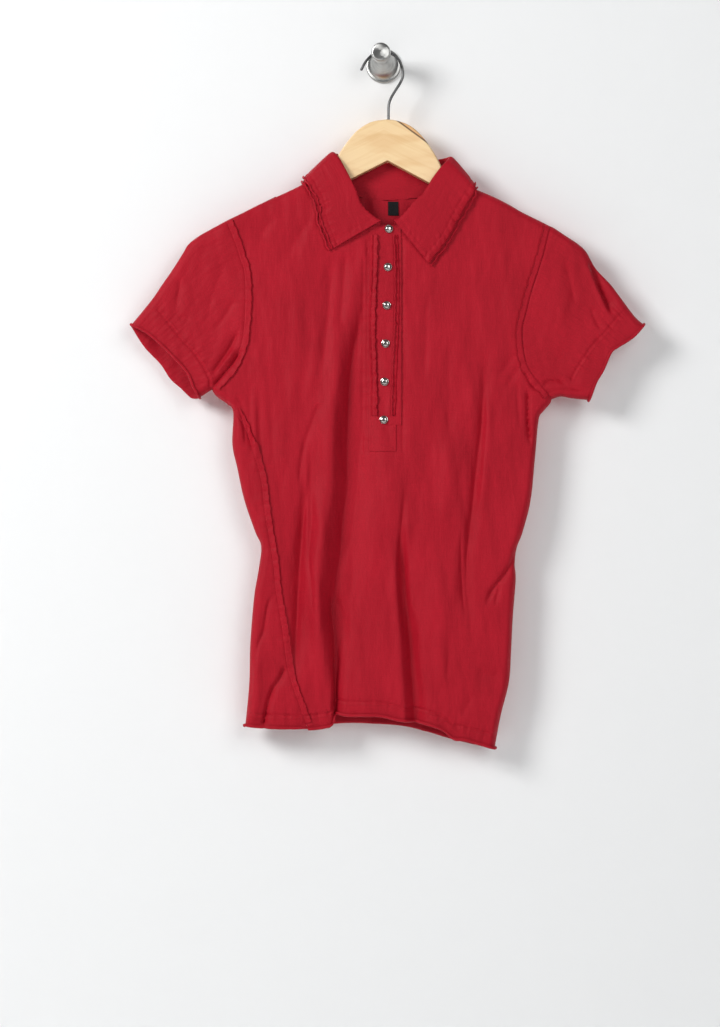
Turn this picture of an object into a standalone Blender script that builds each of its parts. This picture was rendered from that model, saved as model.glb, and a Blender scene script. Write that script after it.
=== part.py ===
"""A red jersey polo shirt on a wooden hanger, hung from a round steel wall hook.

Metres, +Z up. +X is the viewer's right, +Y points to the wall, and the origin is
the middle of the hook plate's back, on the wall. A "drop" is a distance below it.

The cloth is two faces, front and back, that meet round the garment's fold edges.
Every piece is cut from those two faces between its own seam lines.
"""
from collections import namedtuple
from math import cos, hypot, pi, radians, sin, sqrt

import bmesh
import bpy
import numpy as np
from mathutils import Vector

# --- driving sizes -------------------------------------------------------------
WALL = 0.0012            # one layer of jersey in a panel
LAYER = 0.0010           # one layer of jersey in collar, placket and seam strips
GAP = 0.0003             # between neighbouring pieces
MID_Y = -0.030           # the plane of the hanger and of the side folds
EDGE_RADIUS = 0.0085     # how far in from a fold edge the cloth turns flat
SEAM_WIDTH = 0.008       # raw seam allowance outside
FRONT, BACK = -1, 1

Mark = namedtuple("Mark", "x drop")
Depth = namedtuple("Depth", "drop half")
Column = namedtuple("Column", "at_top at_armpit at_hem")
Fold = namedtuple("Fold", "face depth width fade_in fade_out path")
Station = namedtuple(
    "Station", "turn seam_x seam_drop fold_x fold_drop edge_x edge_drop roll out")
Turned = namedtuple("Turned", "y radius")
Rim = namedtuple("Rim", "x drop soft")


def marks(*pairs):
    return [Mark(*pair) for pair in pairs]


# Half the garment's thickness, front to back, on the flat
DEPTHS = [
    Depth(0.10, 0.0085),
    Depth(0.24, 0.0085),
    Depth(0.36, 0.0105),
    Depth(0.55, 0.0120),
    Depth(0.75, 0.0125),
]

# --- fold edges, where front and back meet --------------------------------------
SHOULDER = {
    "left": marks((-0.0730, 0.1266), (-0.0963, 0.1385), (-0.1158, 0.1476),
                  (-0.1354, 0.1563), (-0.1516, 0.1645), (-0.1711, 0.1740)),
    "right": marks((0.0830, 0.1325), (0.0978, 0.1389), (0.1184, 0.1476),
                   (0.1358, 0.1563), (0.1499, 0.1645), (0.1683, 0.1736), (0.1800, 0.1795)),
}
SLEEVE_TOP = {
    "left": marks((-0.1711, 0.1740), (-0.1863, 0.1823), (-0.2015, 0.1910), (-0.2124, 0.1997),
                  (-0.2178, 0.2084), (-0.2286, 0.2257), (-0.2406, 0.2431), (-0.2525, 0.2604),
                  (-0.2742, 0.2870)),
    "right": marks((0.1800, 0.1795), (0.1857, 0.1823), (0.1987, 0.1910), (0.2117, 0.1997),
                   (0.2204, 0.2084), (0.2302, 0.2257), (0.2464, 0.2431), (0.2594, 0.2604),
                   (0.2725, 0.2778), (0.2825, 0.2868)),
}
UNDERARM = {
    "left": marks((-0.2000, 0.3660), (-0.1868, 0.3575)),
    "right": marks((0.2226, 0.3689), (0.2030, 0.3667), (0.1922, 0.3650), (0.1824, 0.3680)),
}
SIDE = {
    "left": marks((-0.1868, 0.3575), (-0.1820, 0.3646), (-0.1701, 0.3732), (-0.1636, 0.3819),
                  (-0.1646, 0.4166), (-0.1592, 0.4426), (-0.1516, 0.4773), (-0.1397, 0.5120),
                  (-0.1332, 0.5283), (-0.1364, 0.5554), (-0.1408, 0.5815), (-0.1451, 0.6335),
                  (-0.1462, 0.6769), (-0.1505, 0.7225)),
    "right": marks((0.1824, 0.3680), (0.1803, 0.3732), (0.1727, 0.3819), (0.1683, 0.3906),
                   (0.1645, 0.4300), (0.1597, 0.4773), (0.1510, 0.5120), (0.1445, 0.5294),
                   (0.1423, 0.5467), (0.1434, 0.5641), (0.1401, 0.6075), (0.1380, 0.6509),
                   (0.1358, 0.6769), (0.1271, 0.7116), (0.1206, 0.7463)),
}

# --- seams and open edges --------------------------------------------------------
ARMHOLE = {
    ("left", FRONT): marks((-0.1711, 0.1740), (-0.1620, 0.1964), (-0.1560, 0.2149),
                           (-0.1510, 0.2322), (-0.1500, 0.2660), (-0.1525, 0.2995),
                           (-0.1570, 0.3168), (-0.1655, 0.3342), (-0.1868, 0.3575)),
    ("left", BACK): marks((-0.1711, 0.1740), (-0.1640, 0.1964), (-0.1595, 0.2149),
                          (-0.1560, 0.2322), (-0.1545, 0.2660), (-0.1570, 0.2995),
                          (-0.1610, 0.3168), (-0.1690, 0.3342), (-0.1868, 0.3575)),
    ("right", FRONT): marks((0.1800, 0.1795), (0.1715, 0.2138), (0.1600, 0.2496),
                            (0.1540, 0.2723), (0.1495, 0.2930), (0.1515, 0.3201),
                            (0.1590, 0.3396), (0.1824, 0.3680)),
    ("right", BACK): marks((0.1800, 0.1795), (0.1730, 0.2138), (0.1640, 0.2496),
                           (0.1590, 0.2723), (0.1555, 0.2930), (0.1570, 0.3201),
                           (0.1640, 0.3396), (0.1824, 0.3680)),
}
SIDE_SEAM = marks((-0.1868, 0.3575), (-0.1785, 0.3660), (-0.1655, 0.3760), (-0.1585, 0.3860),
                  (-0.1525, 0.3960), (-0.1473, 0.4079), (-0.1340, 0.4502), (-0.1285, 0.4914),
                  (-0.1202, 0.5424), (-0.1169, 0.5750), (-0.1104, 0.6151), (-0.1039, 0.6606),
                  (-0.0909, 0.7008), (-0.0822, 0.7249))
HEM = {
    FRONT: marks((-0.1505, 0.7225), (-0.1213, 0.7247), (-0.0822, 0.7249), (-0.0640, 0.7230),
                 (-0.0565, 0.7200), (-0.0530, 0.7085), (-0.0388, 0.7105), (-0.0063, 0.7105),
                 (0.0165, 0.7153), (0.0393, 0.7181), (0.0631, 0.7257), (0.0756, 0.7355),
                 (0.0881, 0.7366), (0.1043, 0.7414), (0.1206, 0.7463)),
    BACK: marks((-0.1505, 0.7225), (-0.0800, 0.7215), (-0.0300, 0.7190), (0.0300, 0.7240),
                (0.0756, 0.7370), (0.1206, 0.7463)),
}
CUFF = {
    ("left", FRONT): marks((-0.2742, 0.2870), (-0.2547, 0.2973), (-0.2319, 0.3179),
                           (-0.2130, 0.3390), (-0.2060, 0.3550), (-0.2000, 0.3660)),
    ("left", BACK): marks((-0.2742, 0.2870), (-0.2601, 0.3092), (-0.2427, 0.3277),
                          (-0.2319, 0.3439), (-0.2200, 0.3548), (-0.2090, 0.3650),
                          (-0.2000, 0.3660)),
    ("right", FRONT): marks((0.2825, 0.2868), (0.2692, 0.3011), (0.2518, 0.3125),
                            (0.2453, 0.3179), (0.2367, 0.3374), (0.2291, 0.3504),
                            (0.2226, 0.3689)),
    ("right", BACK): marks((0.2825, 0.2868), (0.2680, 0.2990), (0.2500, 0.3100),
                           (0.2410, 0.3170), (0.2330, 0.3350), (0.2270, 0.3480),
                           (0.2226, 0.3689)),
}

# --- collar: stations round the neck, from the left front end to the right one ------
# turn is which way the collar faces there: 0 front, 90 the side, 180 the wall
COLLAR = [Station(*row) for row in (
    (0, -0.0035, 0.1795, -0.0035, 0.1755, -0.0554, 0.2051, 0.0034, 0.0028),
    (0, -0.0185, 0.1770, -0.0159, 0.1664, -0.0618, 0.1890, 0.0034, 0.0028),
    (0, -0.0340, 0.1695, -0.0243, 0.1567, -0.0672, 0.1750, 0.0035, 0.0028),
    (0, -0.0475, 0.1590, -0.0298, 0.1428, -0.0690, 0.1610, 0.0035, 0.0030),
    (0, -0.0585, 0.1470, -0.0360, 0.1297, -0.0720, 0.1500, 0.0030, 0.0034),
    (12, -0.0670, 0.1360, -0.0436, 0.1152, -0.0775, 0.1415, 0.0020, 0.0040),
    (35, -0.0712, 0.1294, -0.0503, 0.1045, -0.0815, 0.1350, 0.0010, 0.0048),
    (62, -0.0723, 0.1278, -0.0542, 0.1006, -0.0827, 0.1334, 0.0005, 0.0050),
    (90, -0.0730, 0.1266, -0.0555, 0.0990, -0.0837, 0.1318, 0.0000, 0.0052),
    (118, -0.0718, 0.1285, -0.0545, 0.0990, -0.0822, 0.1345, 0.0000, 0.0052),
    (145, -0.0690, 0.1310, -0.0500, 0.1006, -0.0800, 0.1390, 0.0000, 0.0048),
    (180, -0.0560, 0.1380, -0.0330, 0.1060, -0.0620, 0.1490, 0.0000, 0.0036),
    (180, -0.0300, 0.1475, -0.0150, 0.1090, -0.0320, 0.1545, 0.0000, 0.0030),
    (180, 0.0040, 0.1515, 0.0040, 0.1100, 0.0040, 0.1560, 0.0000, 0.0030),
    (180, 0.0380, 0.1485, 0.0250, 0.1100, 0.0400, 0.1560, 0.0000, 0.0030),
    (180, 0.0640, 0.1410, 0.0450, 0.1085, 0.0700, 0.1530, 0.0000, 0.0036),
    (145, 0.0785, 0.1355, 0.0615, 0.1060, 0.0890, 0.1450, 0.0000, 0.0046),
    (118, 0.0815, 0.1338, 0.0690, 0.1048, 0.0940, 0.1400, 0.0000, 0.0054),
    (90, 0.0830, 0.1325, 0.0725, 0.1041, 0.0960, 0.1381, 0.0000, 0.0056),
    (62, 0.0824, 0.1335, 0.0702, 0.1075, 0.0962, 0.1405, 0.0005, 0.0051),
    (35, 0.0815, 0.1347, 0.0655, 0.1125, 0.0960, 0.1440, 0.0010, 0.0044),
    (12, 0.0765, 0.1420, 0.0546, 0.1262, 0.0890, 0.1560, 0.0020, 0.0036),
    (0, 0.0670, 0.1520, 0.0484, 0.1360, 0.0820, 0.1680, 0.0030, 0.0030),
    (0, 0.0560, 0.1625, 0.0422, 0.1457, 0.0740, 0.1830, 0.0035, 0.0028),
    (0, 0.0430, 0.1715, 0.0330, 0.1540, 0.0650, 0.1985, 0.0035, 0.0028),
    (0, 0.0270, 0.1775, 0.0200, 0.1692, 0.0570, 0.2080, 0.0034, 0.0028),
    (0, 0.0110, 0.1795, 0.0110, 0.1752, 0.0484, 0.2205, 0.0034, 0.0028))]
CREST_OUT = 0.0010       # the folded edge, out from the panel's plane
FOLD_HALF = 0.0021       # half the thickness of the folded collar
UNDER_SHOWS = 0.0045     # how far the under layer reaches past the upper one
SEAM_RISE = 0.0009       # from the neckline's edge up to the collar's

# --- columns of each panel: where a line of the cloth crosses three levels ----------
FRONT_COLUMNS = [Column(*row) for row in (
    (-0.1711, -0.1868, -0.0822), (-0.1631, -0.1788, -0.0760), (-0.1410, -0.1560, -0.0735),
    (-0.1160, -0.1320, -0.0710), (-0.0930, -0.1090, -0.0685), (-0.0730, -0.0880, -0.0660),
    (-0.0716, -0.0810, -0.0648), (-0.0670, -0.0740, -0.0635), (-0.0585, -0.0620, -0.0610), (-0.0475, -0.0540, -0.0582),
    (-0.0410, -0.0485, -0.0556), (-0.0340, -0.0435, -0.0538), (-0.0262, -0.0385, -0.0510),
    (-0.0185, -0.0320, -0.0455), (-0.0110, -0.0230, -0.0360), (-0.0035, -0.0110, -0.0210),
    (0.0035, 0.0000, -0.0030), (0.0110, 0.0100, 0.0110), (0.0190, 0.0165, 0.0190),
    (0.0270, 0.0230, 0.0250), (0.0350, 0.0300, 0.0315), (0.0430, 0.0400, 0.0430),
    (0.0560, 0.0560, 0.0550), (0.0670, 0.0720, 0.0650), (0.0765, 0.0850, 0.0740),
    (0.0816, 0.0905, 0.0775), (0.0830, 0.0950, 0.0800), (0.1050, 0.1040, 0.0850), (0.1270, 0.1140, 0.0920),
    (0.1480, 0.1380, 0.1010), (0.1720, 0.1744, 0.1121), (0.1767, 0.1794, 0.1176),
    (0.1792, 0.1820, 0.1202), (0.1800, 0.1824, 0.1206))]
BACK_COLUMNS = [Column(*row) for row in (
    (-0.1400, -0.1550, -0.1250), (-0.1150, -0.1300, -0.1050), (-0.0930, -0.1080, -0.0850),
    (-0.0730, -0.0900, -0.0700), (-0.0714, -0.0820, -0.0640), (-0.0690, -0.0720, -0.0570), (-0.0560, -0.0540, -0.0430),
    (-0.0430, -0.0370, -0.0280), (-0.0300, -0.0230, -0.0140), (-0.0130, -0.0080, 0.0000),
    (0.0040, 0.0050, 0.0110), (0.0210, 0.0200, 0.0220), (0.0380, 0.0350, 0.0330),
    (0.0510, 0.0500, 0.0440), (0.0640, 0.0660, 0.0560), (0.0785, 0.0820, 0.0680),
    (0.0814, 0.0900, 0.0740), (0.0830, 0.0980, 0.0790), (0.1050, 0.1150, 0.0890), (0.1300, 0.1360, 0.0990),
    (0.1520, 0.1550, 0.1070), (0.1720, 0.1744, 0.1121), (0.1767, 0.1794, 0.1176),
    (0.1792, 0.1820, 0.1202), (0.1800, 0.1824, 0.1206))]
WRAP_COLUMNS = 10        # the back panel's columns round the left side edge
WRAP_BUNCH = 0.0012      # their spacing above the armpit
YOKE_SHARES = (0, 0.002, 0.008, 0.022, 0.045, 0.10, 0.19, 0.31, 0.44, 0.57, 0.70,
               0.82, 0.90, 0.955, 0.985, 1)
BODY_SHARES = (0, 0.035, 0.07, 0.12, 0.19, 0.28, 0.37, 0.46, 0.55, 0.65,
               0.75, 0.85, 0.93, 1)
SLEEVE_SHARES = (0, 0.10, 0.28, 0.46, 0.64, 0.82, 1)

# --- the largest folds: depth sinks the cloth, a minus raises it ---------------------
FOLDS = [
    Fold(FRONT, 0.0078, 0.0075, 0.25, 0, marks(
        (-0.0225, 0.2180), (-0.0280, 0.2450), (-0.0360, 0.3038), (-0.0443, 0.3580),
        (-0.0460, 0.4123), (-0.0480, 0.4849), (-0.0555, 0.5500), (-0.0575, 0.5934),
        (-0.0525, 0.6650), (-0.0530, 0.7300))),
    Fold(FRONT, 0.0050, 0.0070, 0.35, 0, marks(
        (0.0176, 0.4500), (0.0208, 0.5023), (0.0200, 0.5565), (0.0230, 0.6292),
        (0.0255, 0.7300))),
    Fold(FRONT, 0.0032, 0.0070, 0.30, 0.15, marks(
        (-0.0860, 0.4000), (-0.0905, 0.4849), (-0.0925, 0.5391), (-0.0950, 0.5934),
        (-0.0970, 0.6500))),
    Fold(FRONT, 0.0034, 0.0075, 0.25, 0.25, marks(
        (0.1098, 0.2854), (0.1040, 0.3800), (0.0989, 0.4665), (0.0913, 0.5392),
        (0.0885, 0.5934), (0.0970, 0.6500))),
    Fold(FRONT, 0.0030, 0.0070, 0.30, 0, marks(
        (-0.1267, 0.6150), (-0.1240, 0.6650), (-0.1289, 0.7300))),
    Fold(FRONT, 0.0022, 0.0080, 0.30, 0.30, marks(
        (-0.0530, 0.2120), (-0.0590, 0.2600), (-0.0640, 0.3300))),
    Fold(FRONT, 0.0022, 0.0080, 0.20, 0.30, marks((-0.1800, 0.3500), (-0.1560, 0.2950))),
    Fold(FRONT, 0.0022, 0.0060, 0.20, 0.30, marks((0.1500, 0.5250), (0.1152, 0.5890))),
    Fold(FRONT, -0.0022, 0.0120, 0.30, 0, marks(
        (-0.0700, 0.3300), (-0.0720, 0.5000), (-0.0730, 0.7300))),
    Fold(FRONT, -0.0022, 0.0140, 0.30, 0, marks(
        (-0.0180, 0.4700), (-0.0250, 0.5600), (-0.0280, 0.7300))),
    Fold(FRONT, -0.0022, 0.0140, 0.30, 0, marks(
        (0.0560, 0.4300), (0.0520, 0.5600), (0.0560, 0.7400))),
    Fold(BACK, 0.0045, 0.0100, 0.25, 0, marks(
        (-0.0600, 0.2600), (-0.0700, 0.5000), (-0.0760, 0.7300))),
    Fold(BACK, 0.0050, 0.0090, 0.30, 0, marks(
        (0.0320, 0.3000), (0.0360, 0.5500), (0.0420, 0.7400))),
    Fold(BACK, 0.0032, 0.0090, 0.25, 0, marks(
        (0.0950, 0.2900), (0.0880, 0.5000), (0.0960, 0.7500))),
    Fold(BACK, 0.0030, 0.0090, 0.35, 0, marks(
        (-0.0180, 0.4200), (-0.0150, 0.5600), (-0.0120, 0.7300))),
    Fold(BACK, -0.0022, 0.0160, 0.30, 0, marks(
        (0.0080, 0.3600), (0.0080, 0.5600), (0.0140, 0.7300))),
]

# --- placket and snaps ---------------------------------------------------------------
BAND_LEFT, BAND_RIGHT = -0.0158, 0.0185
BAND_TOP, BAND_END = 0.1812, 0.4247
BOX_TOP, BOX_RIGHT = 0.3960, 0.0132
STRIP_TOP, STRIP_END = 0.1905, 0.3860
BAND_OUT = GAP + LAYER
STRIP_OUT = 2 * (GAP + LAYER)
BAND_ROWS = 13
SNAP_COUNT = 6
SNAP_FIRST = Mark(0.0052, 0.1839)
SNAP_STEP = Mark(-0.00102, 0.04134)
SNAP_PROFILE = [Turned(0, 0.0038), Turned(0.0010, 0.0043), Turned(0.0022, 0.0036),
                Turned(0.0029, 0.0019)]
SNAP_SIDES = 14

# --- label, hanger, wire and wall hook -------------------------------------------------
LABEL_LEFT, LABEL_RIGHT = 0.0046, 0.0160
LABEL_TOP, LABEL_END = 0.1522, 0.1672

HANGER_HALF = 0.0062
HANGER_ROUND = 0.0062
HANGER_CLEAR = 0.0009
HANGER_APEX = Mark(0.0040, 0.1100)
HANGER_HUMP = [Rim(*row) for row in (
    (-0.0690, 0.1345, 1.0), (-0.0632, 0.1285, 0.8), (-0.0582, 0.1205, 0.5),
    (-0.0540, 0.1110, 0.35), (-0.0489, 0.1015, 0.35), (-0.0406, 0.0894, 0.35),
    (-0.0293, 0.0763, 0.35), (-0.0144, 0.0669, 0.35), (0.0005, 0.0641, 0.35),
    (0.0052, 0.0641, 0.35), (0.0137, 0.0651, 0.35), (0.0286, 0.0706, 0.35),
    (0.0416, 0.0819, 0.35), (0.0528, 0.0969, 0.35), (0.0622, 0.1137, 0.35),
    (0.0668, 0.1245, 0.5), (0.0722, 0.1335, 0.8), (0.0790, 0.1392, 1.0))]
HANGER_END = {
    "left": [Rim(-0.2105, 0.2030, 0.9), Rim(-0.2100, 0.2105, 0.7), Rim(-0.2030, 0.2150, 0.4)],
    "right": [Rim(0.2115, 0.2045, 0.9), Rim(0.2115, 0.2120, 0.7), Rim(0.2050, 0.2170, 0.4)],
}
HANGER_ARM = {"left": (-0.0840, -0.2040), "right": (0.0930, 0.2050)}
UNDERSIDE_SLOPE = {"left": 0.506, "right": 0.5358}
UNDERSIDE_END = {"left": -0.1940, "right": 0.1950}
ARM_STEPS = 9

WIRE_RADIUS = 0.00145
WIRE_SIDES = 8
WIRE_ROUTE = marks((0.0052, 0.0637), (0.0051, 0.0546), (0.0057, 0.0470), (0.0079, 0.0405),
                   (0.0126, 0.0325), (0.0177, 0.0245), (0.0205, 0.0180), (0.0208, 0.0120),
                   (0.0195, 0.0060), (0.0160, -0.0015), (0.0095, -0.0070), (-0.0008, -0.0095),
                   (-0.0106, -0.0074), (-0.0190, 0.0002), (-0.0242, 0.0095))

PLATE_PROFILE = [Turned(0, 0.0190), Turned(-0.0018, 0.0190), Turned(-0.0034, 0.0176),
                 Turned(-0.0042, 0.0150)]
KNOB_SHIFT = Mark(-0.0032, -0.0050)
KNOB_Y = -0.0500
KNOB_PROFILE = [Turned(-0.0045, 0.0135), Turned(-0.0090, 0.0118), Turned(-0.0150, 0.0092),
                Turned(-0.0220, 0.0064), Turned(-0.0300, 0.0047), Turned(-0.0360, 0.0052),
                Turned(-0.0400, 0.0085), Turned(-0.0430, 0.0100), Turned(-0.0470, 0.0105),
                Turned(-0.0510, 0.0098), Turned(-0.0540, 0.0078), Turned(-0.0556, 0.0045)]
TURNED_SIDES = 20

# --- colours: name, red, green, blue, roughness, metallic -------------------------------
FINISHES = {
    "jersey": ((0.42, 0.012, 0.026), 0.85, 0.0),
    "black_tape": ((0.008, 0.008, 0.009), 0.7, 0.0),
    "chrome": ((0.62, 0.60, 0.58), 0.22, 1.0),
    "pine": ((0.80, 0.56, 0.29), 0.5, 0.0),
    "steel": ((0.55, 0.55, 0.56), 0.3, 1.0),
}


# --- smooth lines -----------------------------------------------------------------------
def smooth(points, steps=5):
    """Points of a curve that passes through all the given ones."""
    ends = [points[0], *points, points[-1]]
    curve = []
    for before, start, stop, after in zip(ends, ends[1:], ends[2:], ends[3:]):
        for step in range(steps):
            t = step / steps
            weights = (-t + 2 * t**2 - t**3, 2 - 5 * t**2 + 3 * t**3,
                       t + 4 * t**2 - 3 * t**3, -t**2 + t**3)
            curve.append([sum(w * p[axis] for w, p in zip(weights, (before, start, stop, after))) / 2
                          for axis in range(len(start))])
    curve.append(list(points[-1]))
    return np.array(curve)


class Line:
    """A smooth line in the garment's plane, read by its share of length or by its x."""

    def __init__(self, points, steps=5):
        self.points = smooth(points, steps)
        runs = np.hypot(*np.diff(self.points, axis=0).T)
        self.shares = np.concatenate(([0], np.cumsum(runs))) / runs.sum()

    def at(self, share):
        return np.array([np.interp(share, self.shares, self.points[:, axis]) for axis in (0, 1)])

    def drop_at(self, x):
        order = np.argsort(self.points[:, 0])
        return float(np.interp(x, self.points[order, 0], self.points[order, 1]))


def side_sign(side):
    return -1 if side == "left" else 1


class Outline:
    """The fold edges, and how far inside them a point of the cloth lies."""

    def __init__(self):
        starts, ends, inwards = [], [], []
        for lines in (SHOULDER, SLEEVE_TOP, UNDERARM, SIDE):
            for side, points in lines.items():
                dense = Line(points).points
                along = np.diff(dense, axis=0)
                along /= np.hypot(*along.T)[:, None]
                starts.append(dense[:-1])
                ends.append(dense[1:])
                inwards.append(-side_sign(side) * np.column_stack((along[:, 1], -along[:, 0])))
        self.start = np.vstack(starts)
        self.run = np.vstack(ends) - self.start
        self.inward = np.vstack(inwards)

    def inside(self, x, drop):
        """Distance in from the nearest fold edge, and the direction straight in."""
        away = np.array((x, drop)) - self.start
        share = np.clip((away * self.run).sum(1) / (self.run**2).sum(1), 0, 1)
        away = away - share[:, None] * self.run
        distance = np.hypot(*away.T)
        near = int(distance.argmin())
        if distance[near] < 1e-5:
            weight = np.exp(-(distance / 0.0015)**2)
            inward = (self.inward * weight[:, None]).sum(0)
            return 0.0, inward / np.hypot(*inward)
        meeting = self.inward[distance < distance[near] + 1e-7].sum(0)
        sign = 1 if away[near] @ meeting >= 0 else -1
        return sign * distance[near], sign * away[near] / distance[near]


class Crease:
    """One fold: a trough or ridge along its path, faded at its closed ends."""

    def __init__(self, fold):
        self.fold = fold
        self.line = Line(fold.path)

    def relief(self, x, drop):
        points = self.line.points
        run = np.diff(points, axis=0)
        away = np.array((x, drop)) - points[:-1]
        share = np.clip((away * run).sum(1) / (run**2).sum(1), 0, 1)
        distance = np.hypot(*(away - share[:, None] * run).T)
        near = int(distance.argmin())
        along = np.interp(near + share[near], range(len(points)), self.line.shares)
        fade = 1.0
        if self.fold.fade_in:
            fade *= min(1, along / self.fold.fade_in)
        if self.fold.fade_out:
            fade *= min(1, (1 - along) / self.fold.fade_out)
        fade = fade * fade * (3 - 2 * fade)
        return -self.fold.depth * fade * np.exp(-(distance[near] / self.fold.width)**2)


OUTLINE = Outline()
CREASES = {face: [Crease(fold) for fold in FOLDS if fold.face == face] for face in (FRONT, BACK)}


# --- the cloth's two faces -----------------------------------------------------------------
def fold_relief(x, drop, face):
    return sum(crease.relief(x, drop) for crease in CREASES[face])


def half_depth(x, drop, face):
    half = np.interp(drop, [row.drop for row in DEPTHS], [row.half for row in DEPTHS])
    return half + fold_relief(x, drop, face)


def cloth(x, drop, face, out=0.0, on_edge=False, least=0.0):
    """A point `out` from the cloth's outer side, and the direction straight out there."""
    inside, inward = OUTLINE.inside(x, drop)
    rise = 0.0 if on_edge else min(max(inside / EDGE_RADIUS, 0), 1)
    bend = sqrt(rise * (2 - rise))
    half = half_depth(x, drop, face)
    step = 0.0002
    slope_x = (half_depth(x + step, drop, face) - half) / step
    slope_drop = (half_depth(x, drop + step, face) - half) / step
    lean = half * (1 - rise) / EDGE_RADIUS
    normal = Vector((-lean * inward[0] - slope_x * bend**2, face * bend,
                     lean * inward[1] + slope_drop * bend**2)).normalized()
    point = Vector((x, MID_Y + face * max(half * bend, least), -drop))
    return point + out * normal, normal


# --- meshes ------------------------------------------------------------------------------------
def finish(name):
    material = bpy.data.materials.get(name)
    if material is None:
        colour, roughness, metallic = FINISHES[name]
        material = bpy.data.materials.new(name)
        material.use_nodes = True
        shader = material.node_tree.nodes["Principled BSDF"]
        shader.inputs["Base Color"].default_value = (*colour, 1)
        shader.inputs["Roughness"].default_value = roughness
        shader.inputs["Metallic"].default_value = metallic
    return material


def solid(name, points, faces, material):
    """A named object of closed faces, turned to point outwards."""
    mesh = bpy.data.meshes.new(name)
    mesh.from_pydata([tuple(point) for point in points], [], faces)
    body = bmesh.new()
    body.from_mesh(mesh)
    bmesh.ops.recalc_face_normals(body, faces=body.faces)
    if body.calc_volume(signed=True) < 0:
        bmesh.ops.reverse_faces(body, faces=body.faces)
    body.to_mesh(mesh)
    body.free()
    mesh.materials.append(finish(material))
    mesh.shade_smooth()
    mesh.set_sharp_from_angle(angle=radians(40))
    piece = bpy.data.objects.new(name, mesh)
    bpy.context.collection.objects.link(piece)
    return piece


def wall(name, outer, inner, material="jersey", ring=False):
    """A closed wall between two grids of points; `ring` joins each row's ends."""
    rows, columns = len(outer), len(outer[0])
    points = [point for grid in (outer, inner) for row in grid for point in row]

    def index(layer, row, column):
        return (layer * rows + row) * columns + column % columns

    spans = columns if ring else columns - 1
    faces = []
    for row in range(rows - 1):
        for column in range(spans):
            corners = ((row, column), (row, column + 1), (row + 1, column + 1), (row + 1, column))
            for half in (corners[:3], (corners[0], *corners[2:])):
                faces.append([index(0, *corner) for corner in half])
                faces.append([index(1, *corner) for corner in reversed(half)])
    for row in (0, rows - 1):
        for column in range(spans):
            faces.append([index(0, row, column), index(0, row, column + 1),
                          index(1, row, column + 1), index(1, row, column)])
    if not ring:
        for column in (0, columns - 1):
            for row in range(rows - 1):
                faces.append([index(0, row, column), index(0, row + 1, column),
                              index(1, row + 1, column), index(1, row, column)])
    return solid(name, points, faces, material)


def grid_normals(grid):
    """The direction straight out at each point of a grid, from its neighbours."""
    normals = []
    for r, row in enumerate(grid):
        above, below = grid[max(r - 1, 0)], grid[min(r + 1, len(grid) - 1)]
        normals.append([(row[min(c + 1, len(row) - 1)] - row[max(c - 1, 0)])
                        .cross(below[c] - above[c]).normalized() for c in range(len(row))])
    return normals


def turned(name, profile, material, sides=TURNED_SIDES, place=None):
    """A closed body of rings about an axis along Y; place maps a ring's (x, y, z)."""
    place = place or (lambda x, y, z: Vector((x, y, z)))
    points, faces = [], []
    for ring in profile:
        for side in range(sides):
            angle = 2 * pi * side / sides
            points.append(place(ring.radius * cos(angle), ring.y, ring.radius * sin(angle)))
    for ring in range(len(profile) - 1):
        for side in range(sides):
            here, beside = ring * sides + side, ring * sides + (side + 1) % sides
            faces.append([here, beside, beside + sides, here + sides])
    faces.append(list(range(sides)))
    faces.append(list(range((len(profile) - 1) * sides, len(profile) * sides)))
    return solid(name, points, faces, material)


# --- panels ----------------------------------------------------------------------------------
def armpit(side):
    return np.array(SIDE[side][0])


def neck_marks(face):
    """The neckline's points, from left to right, as the collar is sewn to it."""
    stations = [row for row in COLLAR if row.turn == 90 or (row.turn < 90) == (face == FRONT)]
    return sorted((row.seam_x, row.seam_drop) for row in stations)


def top_drop(x, face):
    """The panel's top edge: shoulder, neckline, shoulder."""
    neck = neck_marks(face)
    if x < neck[0][0]:
        return Line(SHOULDER["left"]).drop_at(x)
    if x > neck[-1][0]:
        return Line(SHOULDER["right"]).drop_at(x)
    return float(np.interp(x, [mark[0] for mark in neck], [mark[1] for mark in neck]))


def level(points):
    """Each point's share of the way across its level."""
    xs = [point[0] for point in points]
    return [(x - xs[0]) / (xs[-1] - xs[0]) for x in xs]


def sheet(top, bottom, left, right, shares):
    """Rows of points between four edges, each column running from top to bottom."""
    across_top, across_bottom = level(top), level(bottom)
    rows = []
    for share in shares:
        ends = [line.at(share) - (1 - share) * top[end] - share * bottom[end]
                for line, end in ((left, 0), (right, -1))]
        row = []
        for column in range(len(top)):
            across = (1 - share) * across_top[column] + share * across_bottom[column]
            row.append((1 - share) * top[column] + share * bottom[column]
                       + (1 - across) * ends[0] + across * ends[1])
        rows.append(row)
    return rows


def levels(columns, face, hem_line):
    """A panel's three levels of points: top edge, armpits, hem."""
    left, right = armpit("left"), armpit("right")
    top = [np.array((c.at_top, top_drop(c.at_top, face))) for c in columns]
    middle = [np.array((c.at_armpit, np.interp(c.at_armpit, (left[0], right[0]), (left[1], right[1]))))
              for c in columns]
    hem = [np.array((c.at_hem, hem_line.drop_at(c.at_hem))) for c in columns]
    return top, middle, hem


def shifted(row, first, last):
    """A row of points with its two ends moved along x, to leave the seams' gaps."""
    row = [np.array(point) for point in row]
    row[0][0] += first
    row[-1][0] += last
    return row


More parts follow.
